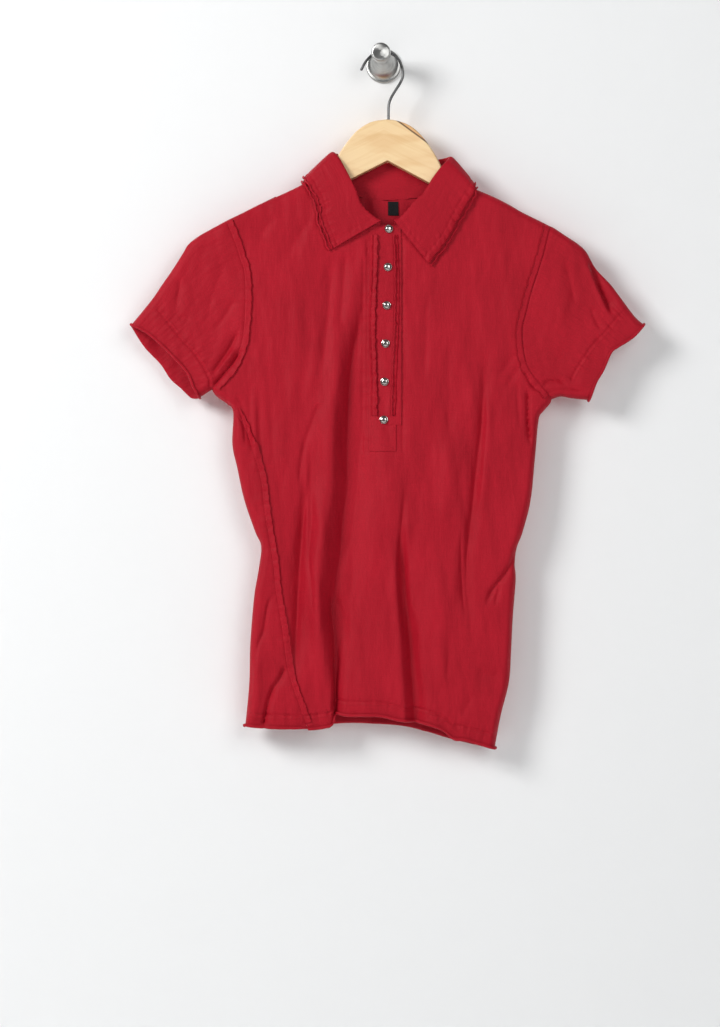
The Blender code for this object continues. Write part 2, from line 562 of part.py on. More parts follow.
def build_panel(name, rows, on_edge, faces):
    """A panel's wall from its rows of flat points, and its outer grid and normals."""
    outer, normals = [], []
    for r, row in enumerate(rows):
        made = [cloth(x, drop, faces(r, c), on_edge=on_edge(r, c) != 0, least=on_edge(r, c) * GAP / 2)
                for c, (x, drop) in enumerate(row)]
        outer.append([point for point, _ in made])
        normals.append([normal for _, normal in made])
    inner = [[point - WALL * normal for point, normal in zip(*pair)] for pair in zip(outer, normals)]
    wall(name, outer, inner)
    return outer, normals


def build_front():
    top, middle, hem = levels(FRONT_COLUMNS, FRONT, Line(HEM[FRONT]))
    yoke = sheet(top, middle, Line(ARMHOLE["left", FRONT]), Line(ARMHOLE["right", FRONT]), YOKE_SHARES)
    body = sheet(middle, hem, Line(SIDE_SEAM), Line(SIDE["right"]), BODY_SHARES)
    last_yoke, last_column = len(yoke) - 1, len(top) - 1
    rows = [shifted(row, GAP / 2, -GAP / 2) for row in yoke[:-1]]
    rows += [shifted(row, GAP / 2 if r else 0, 0) for r, row in enumerate(body)]
    neck = neck_marks(FRONT)

    def on_edge(r, c):
        shoulder = r == 0 and not neck[0][0] < FRONT_COLUMNS[c].at_top < neck[-1][0]
        side = r >= last_yoke and c == last_column
        return 1 if shoulder or side or (r == last_yoke and c == 0) else 0

    return build_panel("front", rows, on_edge, lambda r, c: FRONT), last_yoke


def wrap_distances(width):
    """How far in from the side edge the wrapped columns lie, from the seam to the edge."""
    turn = min(EDGE_RADIUS, 0.55 * width)
    spread = (width, turn + (width - turn) * 2 / 3, turn + (width - turn) / 3, turn)
    return [*spread, 0.30 * turn, 0.045 * turn, 0]


def build_back():
    """The back panel, whose first columns run round the left side edge to the side seam."""
    turned_in = (0.045 * EDGE_RADIUS, 0.30 * EDGE_RADIUS, EDGE_RADIUS)
    edge_columns = [Column(*(level_x + inward for level_x in (
        SHOULDER["left"][-1].x, SIDE["left"][0].x, SIDE["left"][-1].x))) for inward in (0, *turned_in)]
    columns = edge_columns + BACK_COLUMNS
    top, middle, hem = levels(columns, BACK, Line(HEM[BACK]))
    yoke = sheet(top, middle, Line(ARMHOLE["left", BACK]), Line(ARMHOLE["right", BACK]), YOKE_SHARES)
    body = sheet(middle, hem, Line(SIDE["left"]), Line(SIDE["right"]), BODY_SHARES)
    wrapped = WRAP_COLUMNS - len(edge_columns)
    seam, front_hem = Line(SIDE_SEAM), Line(HEM[FRONT])
    rows, last_yoke = [], len(yoke) - 1
    for share, row in zip(YOKE_SHARES, [*yoke[:-1], body[0]]):
        towards = row[len(edge_columns)] - row[0]
        towards /= np.hypot(*towards)
        bunched = [row[0] + WRAP_BUNCH * c * towards for c in range(WRAP_COLUMNS)]
        if share == 0:
            bunched = [np.array((x, top_drop(x, BACK))) for x, _ in bunched]
        flat = bunched + row[len(edge_columns):]
        rows.append(flat if share == 1 else shifted(flat, GAP / 2, -GAP / 2))
    for share, row in list(zip(BODY_SHARES, body))[1:]:
        start = seam.at(share) - np.array((GAP / 2, 0))
        edge = row[0]
        width = start[0] - edge[0]
        flat = [edge + (start - edge) * (inward / width) for inward in wrap_distances(width)]
        if share == 1:
            flat = [np.array((x, front_hem.drop_at(x))) for x, _ in flat]
        rows.append(flat[:wrapped] + row)
    last_column = len(rows[0]) - 1
    neck = neck_marks(BACK)

    def on_edge(r, c):
        if c == last_column:
            return 1 if r >= last_yoke or r == 0 else 0
        if r == 0:
            return 0 if neck[0][0] < rows[0][c][0] < neck[-1][0] else 1
        if r == last_yoke:
            return 1 if c == 0 else 0
        return 1e-9 if r > last_yoke and c == wrapped else 0

    def face(r, c):
        return FRONT if r > last_yoke and c < wrapped else BACK

    return build_panel("back", rows, on_edge, face), last_yoke


def build_sleeve(side):
    """A sleeve: one ring of points at each share of the way from armhole to cuff."""
    shift = side_sign(side) * GAP / 2
    top_line = Line(SLEEVE_TOP[side])
    underarm = Line(list(reversed(UNDERARM[side])))
    halves = {}
    for face in (FRONT, BACK):
        hole, cuff = Line(ARMHOLE[side, face]), Line(CUFF[side, face])
        columns = [hole.at(share) for share in YOKE_SHARES]
        ends = [cuff.at(share) for share in YOKE_SHARES]
        rows = []
        for share in SLEEVE_SHARES:
            offsets = [line.at(share) - (1 - share) * columns[end] - share * ends[end]
                       for line, end in ((top_line, 0), (underarm, -1))]
            rows.append([(1 - share) * a + share * b + (1 - across) * offsets[0] + across * offsets[1]
                         for across, a, b in zip(YOKE_SHARES, columns, ends)])
        halves[face] = rows
    outer, inner = [], []
    last = len(YOKE_SHARES) - 1
    for r in range(len(SLEEVE_SHARES)):
        ring = [(point, FRONT, c in (0, last)) for c, point in enumerate(halves[FRONT][r])]
        ring += [(halves[BACK][r][c], BACK, False) for c in range(last - 1, 0, -1)]
        made = [cloth(x + (shift if r == 0 else 0), drop, face, on_edge=edge)
                for (x, drop), face, edge in ring]
        outer.append([point for point, _ in made])
        inner.append([point - WALL * normal for point, normal in made])
    wall("sleeve_" + side, outer, inner, ring=True)


def build_seam_strip(name, outer, normals, rows, columns):
    """A raw seam allowance: a panel's own points beside the seam, moved out."""
    upper = [[outer[r][c] + (GAP + LAYER) * normals[r][c] for c in columns] for r in rows]
    lower = [[outer[r][c] + GAP * normals[r][c] for c in columns] for r in rows]
    wall(name, upper, lower)


# --- collar ----------------------------------------------------------------------------------
def collar_section(row):
    """One station's points: up the stand's inside, over the fold, down the fall."""
    side = -1 if row.seam_x < HANGER_APEX.x else 1
    face = FRONT if row.turn <= 90 else BACK
    angle = radians(row.turn)
    outwards = Vector((side * sin(angle), -cos(angle), 0))
    at_side = row.turn == 90
    seam, _ = cloth(row.seam_x, row.seam_drop, face, out=-LAYER, on_edge=at_side)
    depth = DEPTHS[0].half + CREST_OUT + row.roll
    crest = Vector((row.fold_x, MID_Y, -row.fold_drop)) + Vector((0, outwards.y * depth, 0))
    edge, _ = cloth(row.edge_x, row.edge_drop, face, out=row.out, on_edge=at_side)
    down = (seam - crest).normalized()
    inside = crest - outwards * FOLD_HALF + down * FOLD_HALF
    outside = crest + outwards * FOLD_HALF + (edge - crest).normalized() * FOLD_HALF
    seam += (inside - seam).normalized() * SEAM_RISE
    bulge = outwards * 0.0008
    return [seam, seam.lerp(inside, 0.5), inside, crest, outside,
            outside.lerp(edge, 0.33) + bulge, outside.lerp(edge, 0.67) + bulge, edge]


def build_collar():
    sections = [collar_section(row) for row in COLLAR]
    normals = [[-normal for normal in row] for row in grid_normals(sections)]
    under = [[point - LAYER * normal for point, normal in zip(*pair)] for pair in zip(sections, normals)]
    wall("collar", sections, under)
    upper = []
    for row, section, out in zip(COLLAR, sections, normals):
        side_face = FRONT if row.turn <= 90 else BACK
        fall = [section[i] - (LAYER + GAP) * out[i] for i in (5, 6, 7)]
        start = section[5].lerp(section[4], 0.25) - (LAYER + 2 * GAP) * out[5]
        reach = Vector((row.edge_x - row.fold_x, row.edge_drop - row.fold_drop)).normalized() * UNDER_SHOWS
        tip, _ = cloth(row.edge_x + reach.x, row.edge_drop + reach.y, side_face,
                       out=row.out - LAYER - GAP, on_edge=row.turn == 90)
        upper.append([start, *fall, tip])
    out = [[-normal for normal in row] for row in grid_normals(upper)]
    lower = [[point - LAYER * normal for point, normal in zip(*pair)] for pair in zip(upper, out)]
    wall("collar_under", upper, lower)


# --- placket, snaps, label ---------------------------------------------------------------------
def strip(name, edges, out, material="jersey", face=FRONT, thickness=LAYER, across=3):
    """A strip on a panel: rows of (left, right, drop), its outer side `out` from the cloth."""
    outer, inner = [], []
    for left, right, drop in edges:
        made = [cloth(left + (right - left) * c / (across - 1), drop, face) for c in range(across)]
        outer.append([point + out * normal for point, normal in made])
        inner.append([point + (out - thickness) * normal for point, normal in made])
    wall(name, outer, inner, material)


def build_placket():
    rows = [BAND_TOP + (BAND_END - BAND_TOP) * i / (BAND_ROWS - 1) for i in range(BAND_ROWS)]
    rows = sorted([*rows, BOX_TOP])
    strip("placket_band", [(BAND_LEFT, BOX_RIGHT if drop >= BOX_TOP else BAND_RIGHT, drop)
                           for drop in rows], BAND_OUT)
    lengths = [STRIP_TOP + (STRIP_END - STRIP_TOP) * i / (BAND_ROWS - 1) for i in range(BAND_ROWS)]
    strip("placket_edge_left", [(-0.0146 + 0.0011 * sin(38 * drop), -0.0065, drop)
                                for drop in lengths], STRIP_OUT, across=2)
    strip("placket_edge_right", [(centre - 0.0020, centre + 0.0020, drop) for drop, centre in (
        (drop, 0.0112 + 0.0021 * sin(pi * (drop - STRIP_TOP) / 0.13) - 0.030 * max(drop - 0.36, 0))
        for drop in lengths)], STRIP_OUT, across=2)


def build_snaps():
    for i in range(SNAP_COUNT):
        x, drop = SNAP_FIRST.x + i * SNAP_STEP.x, SNAP_FIRST.drop + i * SNAP_STEP.drop
        seat, normal = cloth(x, drop, FRONT, out=BAND_OUT + GAP)
        turn = Vector((0, 1, 0)).rotation_difference(normal)
        turned(f"snap_{i + 1}", SNAP_PROFILE, "chrome", SNAP_SIDES,
               lambda px, py, pz: seat + turn @ Vector((px, py, pz)))


def build_label():
    """The label hangs from the neck seam against the back panel's inside."""
    strip("neck_label", [(LABEL_LEFT, LABEL_RIGHT, drop) for drop in (LABEL_TOP, LABEL_END)],
          -(WALL + GAP), "black_tape", BACK, across=2)


# --- hanger, wire and wall hook ------------------------------------------------------------------
def hanger_arm(side):
    """The arm's upper edge, just under the shoulder's cloth, from the neck outwards."""
    line = Line([*SHOULDER[side], *SLEEVE_TOP[side][1:]])
    first, last = HANGER_ARM[side]
    rims = []
    for step in range(ARM_STEPS + 1):
        x = first + (last - first) * step / ARM_STEPS
        drop = line.drop_at(x)
        _, inward = OUTLINE.inside(x, drop + 1e-4)
        under = np.array((x, drop)) + (WALL + HANGER_CLEAR) * inward
        rims.append(Rim(under[0], under[1], 1.0))
    return rims


def underside(side, x):
    return Rim(x, HANGER_APEX.drop + UNDERSIDE_SLOPE[side] * abs(x - HANGER_APEX.x), 0.2)


def hanger_outline():
    """The hanger's outline, clockwise as seen from the front, starting at the left end."""
    arms = {side: hanger_arm(side) for side in SHOULDER}
    ends = {side: [*HANGER_END[side], underside(side, UNDERSIDE_END[side])] for side in SHOULDER}
    return [*reversed(arms["left"]), *HANGER_HUMP, *arms["right"], *ends["right"],
            underside("right", 0.10), Rim(*HANGER_APEX, 0.2), underside("left", -0.10),
            *reversed(ends["left"])]


def build_hanger():
    """Rings of the outline, drawn in towards both faces so that its edges are round."""
    outline = hanger_outline()
    count = len(outline)
    inwards = []
    for i, rim in enumerate(outline):
        before, after = outline[i - 1], outline[(i + 1) % count]
        edges = []
        for a, b in ((before, rim), (rim, after)):
            length = hypot(b.x - a.x, b.drop - a.drop)
            edges.append(Vector((-(b.drop - a.drop) / length, (b.x - a.x) / length)))
        across = (edges[0] + edges[1]).normalized()
        inwards.append(across / max(across.dot(edges[0]), 0.5))
    points, faces = [], []
    angles = [radians(angle) for angle in (-90, -60, -30, 0, 30, 60, 90)]
    for angle in angles:
        for rim, inward in zip(outline, inwards):
            inset = rim.soft * HANGER_ROUND * (1 - cos(angle))
            points.append((rim.x + inward.x * inset, MID_Y + HANGER_HALF * sin(angle),
                           -(rim.drop + inward.y * inset)))
    for ring in range(len(angles) - 1):
        for i in range(count):
            here, beside = ring * count + i, ring * count + (i + 1) % count
            faces.append([here, beside, beside + count, here + count])
    faces.append(list(range(count)))
    faces.append(list(range((len(angles) - 1) * count, len(angles) * count)))
    solid("hanger", points, faces, "pine")


def build_wire():
    """A round wire along its route, its rings square to the route."""
    route = smooth(WIRE_ROUTE, 2)
    points, faces = [], []
    for i, (x, drop) in enumerate(route):
        before, after = route[max(i - 1, 0)], route[min(i + 1, len(route) - 1)]
        along = Vector((after[0] - before[0], 0, before[1] - after[1])).normalized()
        across = along.cross(Vector((0, 1, 0)))
        for side in range(WIRE_SIDES):
            angle = 2 * pi * side / WIRE_SIDES
            points.append(Vector((x, MID_Y, -drop)) + WIRE_RADIUS * cos(angle) * across
                          + Vector((0, WIRE_RADIUS * sin(angle), 0)))
    for ring in range(len(route) - 1):
        for side in range(WIRE_SIDES):
            here, beside = ring * WIRE_SIDES + side, ring * WIRE_SIDES + (side + 1) % WIRE_SIDES
            faces.append([here, beside, beside + WIRE_SIDES, here + WIRE_SIDES])
    faces.append(list(range(WIRE_SIDES)))
    faces.append(list(range((len(route) - 1) * WIRE_SIDES, len(route) * WIRE_SIDES)))
    solid("hanger_hook", points, faces, "steel")


def knob_place(x, y, z):
    """The knob's neck rises and leans a little as it leaves the plate."""
    share = y / KNOB_Y
    return Vector((x + share * KNOB_SHIFT.x, y, z - share * KNOB_SHIFT.drop))


def build_wall_hook():
    turned("hook_plate", PLATE_PROFILE, "steel")
    turned("hook_knob", KNOB_PROFILE, "steel", place=knob_place)


def build_shirt():
    (front, front_normals), front_yoke = build_front()
    (back, back_normals), back_yoke = build_back()
    for side in ("left", "right"):
        build_sleeve(side)
    last = len(FRONT_COLUMNS) - 1
    above, below = range(front_yoke), range(front_yoke + 3, len(front))
    build_seam_strip("armhole_strip_left", front, front_normals, above, (0, 1))
    build_seam_strip("side_strip_left", front, front_normals, below, (0, 1))
    build_seam_strip("armhole_strip_right", front, front_normals, above, range(last - 3, last + 1))
    last = len(back[0]) - 1
    build_seam_strip("armhole_strip_left_back", back, back_normals, range(back_yoke), (0, 3, 7))
    build_seam_strip("armhole_strip_right_back", back, back_normals, range(back_yoke),
                     range(last - 3, last + 1))
    build_collar()
    build_placket()
    build_snaps()
    build_label()


def build():
    for piece in list(bpy.data.objects):
        bpy.data.objects.remove(piece, do_unlink=True)
    build_shirt()
    build_hanger()
    build_wire()
    build_wall_hook()


build()
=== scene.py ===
"""The looks of the polo shirt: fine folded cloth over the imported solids, and its setting.

Metres, +Z up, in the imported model's own frame. +X is the viewer's right, +Y points to
the wall, and a "drop" is a distance below the origin. The outlines, seams, columns and
collar stations are the part's own. Folds, rolled edges, seams and stitches are finer here.
The long tables are in tenths of a millimetre.
"""
from collections import namedtuple
from math import ceil, cos, pi, radians, sin

import bmesh
import bpy
import numpy as np
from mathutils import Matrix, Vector


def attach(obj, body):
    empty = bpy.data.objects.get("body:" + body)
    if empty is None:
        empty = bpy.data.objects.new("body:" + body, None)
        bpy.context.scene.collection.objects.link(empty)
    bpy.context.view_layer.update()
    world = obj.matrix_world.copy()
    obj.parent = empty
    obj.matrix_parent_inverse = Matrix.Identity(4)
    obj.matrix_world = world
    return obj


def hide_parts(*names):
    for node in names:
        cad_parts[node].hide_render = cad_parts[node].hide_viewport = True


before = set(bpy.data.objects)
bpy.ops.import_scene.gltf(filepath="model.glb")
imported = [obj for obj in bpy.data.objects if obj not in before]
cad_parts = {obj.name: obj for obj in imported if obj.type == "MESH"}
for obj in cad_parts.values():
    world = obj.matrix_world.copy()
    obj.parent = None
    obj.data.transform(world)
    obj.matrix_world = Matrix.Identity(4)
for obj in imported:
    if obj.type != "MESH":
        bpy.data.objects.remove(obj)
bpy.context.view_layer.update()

# --- driving sizes -------------------------------------------------------------
TENTHS = 10000           # tenths of a millimetre in a metre
WALL = 0.0010            # one layer of jersey in a panel
LAYER = 0.0010           # one layer of jersey in the collar
THIN = 0.0006            # one layer of jersey in the raw strips and the placket's band
GAP = 0.0003             # between neighbouring pieces
MID_Y = -0.030           # the plane of the hanger and of the side folds
EDGE_RADIUS = 0.0085     # how far in from a fold edge the cloth turns flat
FRONT, BACK = -1, 1
FINE = 0.00172           # distance between the front's columns
COARSE = 0.0024          # distance between the back's columns
FINE_ROW = 0.0024        # distance between a panel's rows
HEM_ROW = 0.0010         # distance between its rows at the hem's stitching

# Half the garment's thickness on the flat, at drops down the front
DEPTH_DROPS = (0.10, 0.24, 0.36, 0.55, 0.75)
HALF_DEPTHS = (0.0085, 0.0085, 0.0105, 0.0120, 0.0125)

Mark = namedtuple("Mark", "x drop")
Fold = namedtuple("Fold", "face depth left right fade_in fade_out path")
Seam = namedtuple("Seam", "face groove width pucker reach wave path")
Station = namedtuple(
    "Station", "turn seam_x seam_drop fold_x fold_drop edge_x edge_drop roll out")
Turned = namedtuple("Turned", "y radius")
Rim = namedtuple("Rim", "x drop soft")


def marks(*sizes):
    """Points from x, drop, x, drop and so on."""
    return [Mark(x / TENTHS, drop / TENTHS) for x, drop in zip(sizes[::2], sizes[1::2])]


def turning(*sizes):
    """A turned profile from y, radius, y, radius and so on."""
    return [Turned(y / TENTHS, radius / TENTHS) for y, radius in zip(sizes[::2], sizes[1::2])]


def rims(*sizes):
    """Points of the hanger's edge, each from x, drop and its softness in percent."""
    return [Rim(x / TENTHS, drop / TENTHS, soft / 100)
            for x, drop, soft in zip(sizes[::3], sizes[1::3], sizes[2::3])]


def folds(face, rows):
    """Folds from their depth, reach to the left and right, two fades in percent, and marks."""
    return [Fold(face, depth / TENTHS, left / TENTHS, right / TENTHS, fade_in / 100,
                 fade_out / 100, marks(*path))
            for depth, left, right, fade_in, fade_out, *path in rows]


def moved(path, across, down):
    """A path moved over by a fixed distance."""
    return [Mark(mark.x + across, mark.drop + down) for mark in path]


# --- fold edges, where front and back meet -------------------------------------
SHOULDER = {
    "left": marks(-730, 1266, -963, 1385, -1158, 1476, -1354, 1563, -1516, 1645, -1711, 1740),
    "right": marks(830, 1325, 978, 1389, 1184, 1476, 1358, 1563, 1499, 1645, 1683, 1736,
                   1800, 1795),
}
SLEEVE_TOP = {
    "left": marks(-1711, 1740, -1863, 1823, -2015, 1910, -2124, 1997, -2178, 2084, -2286, 2257,
                  -2406, 2431, -2525, 2604, -2742, 2870),
    "right": marks(1800, 1795, 1857, 1823, 1987, 1910, 2117, 1997, 2204, 2084, 2302, 2257,
                   2464, 2431, 2594, 2604, 2725, 2778, 2825, 2868),
}
UNDERARM = {
    "left": marks(-2000, 3660, -1868, 3575),
    "right": marks(2226, 3689, 2030, 3667, 1922, 3650, 1824, 3680),
}
SIDE = {
    "left": marks(-1868, 3575, -1820, 3646, -1701, 3732, -1636, 3819, -1646, 4166, -1592, 4426,
                  -1516, 4773, -1397, 5120, -1332, 5283, -1364, 5554, -1408, 5815, -1451, 6335,
                  -1462, 6769, -1505, 7225),
    "right": marks(1824, 3680, 1803, 3732, 1727, 3819, 1683, 3906, 1645, 4300, 1597, 4773,
                   1510, 5120, 1445, 5294, 1423, 5467, 1434, 5641, 1401, 6075, 1380, 6509,
                   1358, 6769, 1271, 7116, 1206, 7463),
}

# --- seams and open edges ------------------------------------------------------
ARMHOLE = {
    ("left", FRONT): marks(-1711, 1740, -1620, 1964, -1560, 2149, -1510, 2322, -1500, 2660,
                           -1525, 2995, -1570, 3168, -1655, 3342, -1868, 3575),
    ("left", BACK): marks(-1711, 1740, -1640, 1964, -1595, 2149, -1560, 2322, -1545, 2660,
                          -1570, 2995, -1610, 3168, -1690, 3342, -1868, 3575),
    ("right", FRONT): marks(1800, 1795, 1715, 2138, 1600, 2496, 1540, 2723, 1495, 2930, 1515, 3201,
                            1590, 3396, 1824, 3680),
    ("right", BACK): marks(1800, 1795, 1730, 2138, 1640, 2496, 1590, 2723, 1555, 2930, 1570, 3201,
                           1640, 3396, 1824, 3680),
}
SIDE_SEAM = marks(-1868, 3575, -1785, 3660, -1655, 3760, -1585, 3860, -1525, 3960, -1473, 4079,
                  -1340, 4502, -1285, 4914, -1202, 5424, -1169, 5750, -1104, 6151, -1039, 6606,
                  -909, 7008, -822, 7249)
HEM = {
    FRONT: marks(-1505, 7225, -1213, 7247, -822, 7249, -640, 7230, -565, 7200, -530, 7085,
                 -388, 7105, -63, 7105, 165, 7153, 393, 7181, 631, 7257, 756, 7355, 881, 7366,
                 1043, 7414, 1206, 7463),
    BACK: marks(-1505, 7225, -800, 7215, -300, 7190, 300, 7240, 756, 7370, 1206, 7463),
}
CUFF = {
    ("left", FRONT): marks(-2742, 2870, -2547, 2973, -2319, 3179, -2130, 3390, -2060, 3550,
                           -2000, 3660),
    ("left", BACK): marks(-2742, 2870, -2601, 3092, -2427, 3277, -2319, 3439, -2200, 3548,
                          -2090, 3650, -2000, 3660),
    ("right", FRONT): marks(2825, 2868, 2692, 3011, 2518, 3125, 2453, 3179, 2367, 3374, 2291, 3504,
                            2226, 3689),
    ("right", BACK): marks(2825, 2868, 2680, 2990, 2500, 3100, 2410, 3170, 2330, 3350, 2270, 3480,
                           2226, 3689),
}

# --- collar: stations round the neck, from the left front end to the right one -
# turn is which way the collar faces there, in degrees: 0 front, 90 the side, 180 the wall
COLLAR = [Station(turn, *(size / TENTHS for size in sizes)) for turn, *sizes in (
    (0, -35, 1795, -35, 1755, -554, 2051, 34, 28), (0, -185, 1770, -159, 1664, -618, 1890, 34, 28),
    (0, -340, 1695, -243, 1567, -672, 1750, 35, 28),
    (0, -475, 1590, -298, 1428, -690, 1610, 35, 30),
    (0, -585, 1470, -360, 1297, -720, 1500, 30, 34),
    (12, -670, 1360, -436, 1152, -775, 1415, 20, 40),
    (35, -712, 1294, -503, 1045, -815, 1350, 10, 48),
    (62, -723, 1278, -542, 1006, -827, 1334, 5, 50), (90, -730, 1266, -555, 990, -837, 1318, 0, 52),
    (118, -718, 1285, -545, 990, -822, 1345, 0, 52),
    (145, -690, 1310, -500, 1006, -800, 1390, 0, 48),
    (180, -560, 1380, -330, 1060, -620, 1490, 0, 36),
    (180, -300, 1475, -150, 1090, -320, 1545, 0, 30), (180, 40, 1515, 40, 1100, 40, 1560, 0, 30),
    (180, 380, 1485, 250, 1100, 400, 1560, 0, 30), (180, 640, 1410, 450, 1085, 700, 1530, 0, 36),
    (145, 785, 1355, 615, 1060, 890, 1450, 0, 46), (118, 815, 1338, 690, 1048, 940, 1400, 0, 54),
    (90, 830, 1325, 725, 1041, 960, 1381, 0, 56), (62, 824, 1335, 702, 1075, 962, 1405, 5, 51),
    (35, 815, 1347, 655, 1125, 960, 1440, 10, 44), (12, 765, 1420, 546, 1262, 890, 1560, 20, 36),
    (0, 670, 1520, 484, 1360, 820, 1680, 30, 30), (0, 560, 1625, 422, 1457, 740, 1830, 35, 28),
    (0, 430, 1715, 330, 1540, 650, 1985, 35, 28), (0, 270, 1775, 200, 1692, 570, 2080, 34, 28),
    (0, 110, 1795, 110, 1752, 484, 2205, 34, 28))]
CREST_OUT = 0.0010       # the folded edge, out from the panel's plane
FOLD_HALF = 0.0021       # half the thickness of the folded collar
BULGE = 0.0008           # of the fall, between its fold and its edge
UNDER_SHOWS = 0.0045     # how far the under layer reaches past the upper one
SEAM_RISE = 0.0009       # from the neckline's edge up to the collar's
COLLAR_ROLL, COLLAR_TURN = 0.0009, 190
COLLAR_STITCH = 0.0062   # how far in from its edges the collar is stitched
COLLAR_GROOVE, COLLAR_GROOVE_HALF = 0.0005, 0.0011     # the stitch line's depth and half width
COLLAR_PUCKER, COLLAR_PUCKER_HALF = 0.0010, 0.006      # the puckers' height and half width
PUCKER_AT = 0.7          # where they are highest, as a share of the way in to the stitches
PUCKER_WAVES = 0.0105, 0.031
EDGE_WAVES = 0.010       # how far in from the collar's edge its waves reach
EDGE_FRAY = 0.0008       # how far that edge comes and goes
COLLAR_COLUMN = 0.0011   # about the distance between the collar's points, down the fall
COLLAR_SHARES = np.concatenate((
    np.linspace(0, 0.40, 14)[:-1], np.linspace(0.40, 0.56, 12)[:-1],
    np.linspace(0.56, 0.85, 14)[:-1], np.linspace(0.85, 1, 12)))
UNDER_SHARES = np.linspace(0, 1, 26)

# --- panels --------------------------------------------------------------------
# Columns: where a line of the cloth crosses the top edge, the armpits and the hem
FRONT_COLUMNS = np.array((
    (-1711, -1868, -822), (-1631, -1788, -760), (-1410, -1560, -735),
    (-1160, -1320, -710), (-930, -1090, -685), (-730, -880, -660), (-716, -810, -648),
    (-670, -740, -635), (-585, -620, -610), (-475, -540, -582), (-410, -485, -556),
    (-340, -435, -538), (-262, -385, -510), (-185, -320, -455), (-110, -230, -360),
    (-35, -110, -210), (35, 0, -30), (110, 100, 110), (190, 165, 190), (270, 230, 250),
    (350, 300, 315), (430, 400, 430), (560, 560, 550), (670, 720, 650), (765, 850, 740),
    (816, 905, 775), (830, 950, 800), (1050, 1040, 850), (1270, 1140, 920), (1480, 1380, 1010),
    (1720, 1744, 1121), (1767, 1794, 1176), (1792, 1820, 1202), (1800, 1824, 1206))) / TENTHS
BACK_COLUMNS = np.array((
    (-1400, -1550, -1250), (-1150, -1300, -1050), (-930, -1080, -850),
    (-730, -900, -700), (-714, -820, -640), (-690, -720, -570), (-560, -540, -430),
    (-430, -370, -280), (-300, -230, -140), (-130, -80, 0), (40, 50, 110), (210, 200, 220),
    (380, 350, 330), (510, 500, 440), (640, 660, 560), (785, 820, 680), (814, 900, 740),
    (830, 980, 790), (1050, 1150, 890), (1300, 1360, 990), (1520, 1550, 1070), (1720, 1744, 1121),
    (1767, 1794, 1176), (1792, 1820, 1202), (1800, 1824, 1206))) / TENTHS

YOKE_SHARES = (0, 0.002, 0.008, 0.022, 0.045, 0.10, 0.19, 0.31, 0.44, 0.57, 0.70,
               0.82, 0.90, 0.955, 0.985, 1)
HEM_DENSE = 0.952        # below this share the body's rows lie closer
BODY_SHARES = (0, 0.035, 0.07, 0.12, 0.19, 0.28, 0.37, 0.46, 0.55, 0.65,
               0.75, 0.85, 0.93, HEM_DENSE)
SLEEVE_SHARES = (0, 0.10, 0.28, 0.46, 0.64, 0.82, 1)
YOKE_LENGTH, BODY_LENGTH = 0.19, 0.355
SLEEVE_FINE = 0.0018     # distance between a sleeve's columns, and between its rings
EDGE_STEPS = 9           # columns round a fold edge
WRAP_FINE = 34           # the back panel's columns on the front, up to its seam
WRAP_BUNCH = 0.0012      # their spacing above the armpit
HEM_ROLL, CUFF_ROLL, ROLL_TURN, ROLL_STEPS = 0.0013, 0.0011, 235, 5
NECK_ROWS, ARMPIT_ROWS, HEM_ROWS = 14, 5, 16    # kept all on a panel's inner side
KEPT_ROW = 4             # elsewhere one in so many is kept
TOUCH = 1e-9             # puts a point on the fold edge without a gap at it

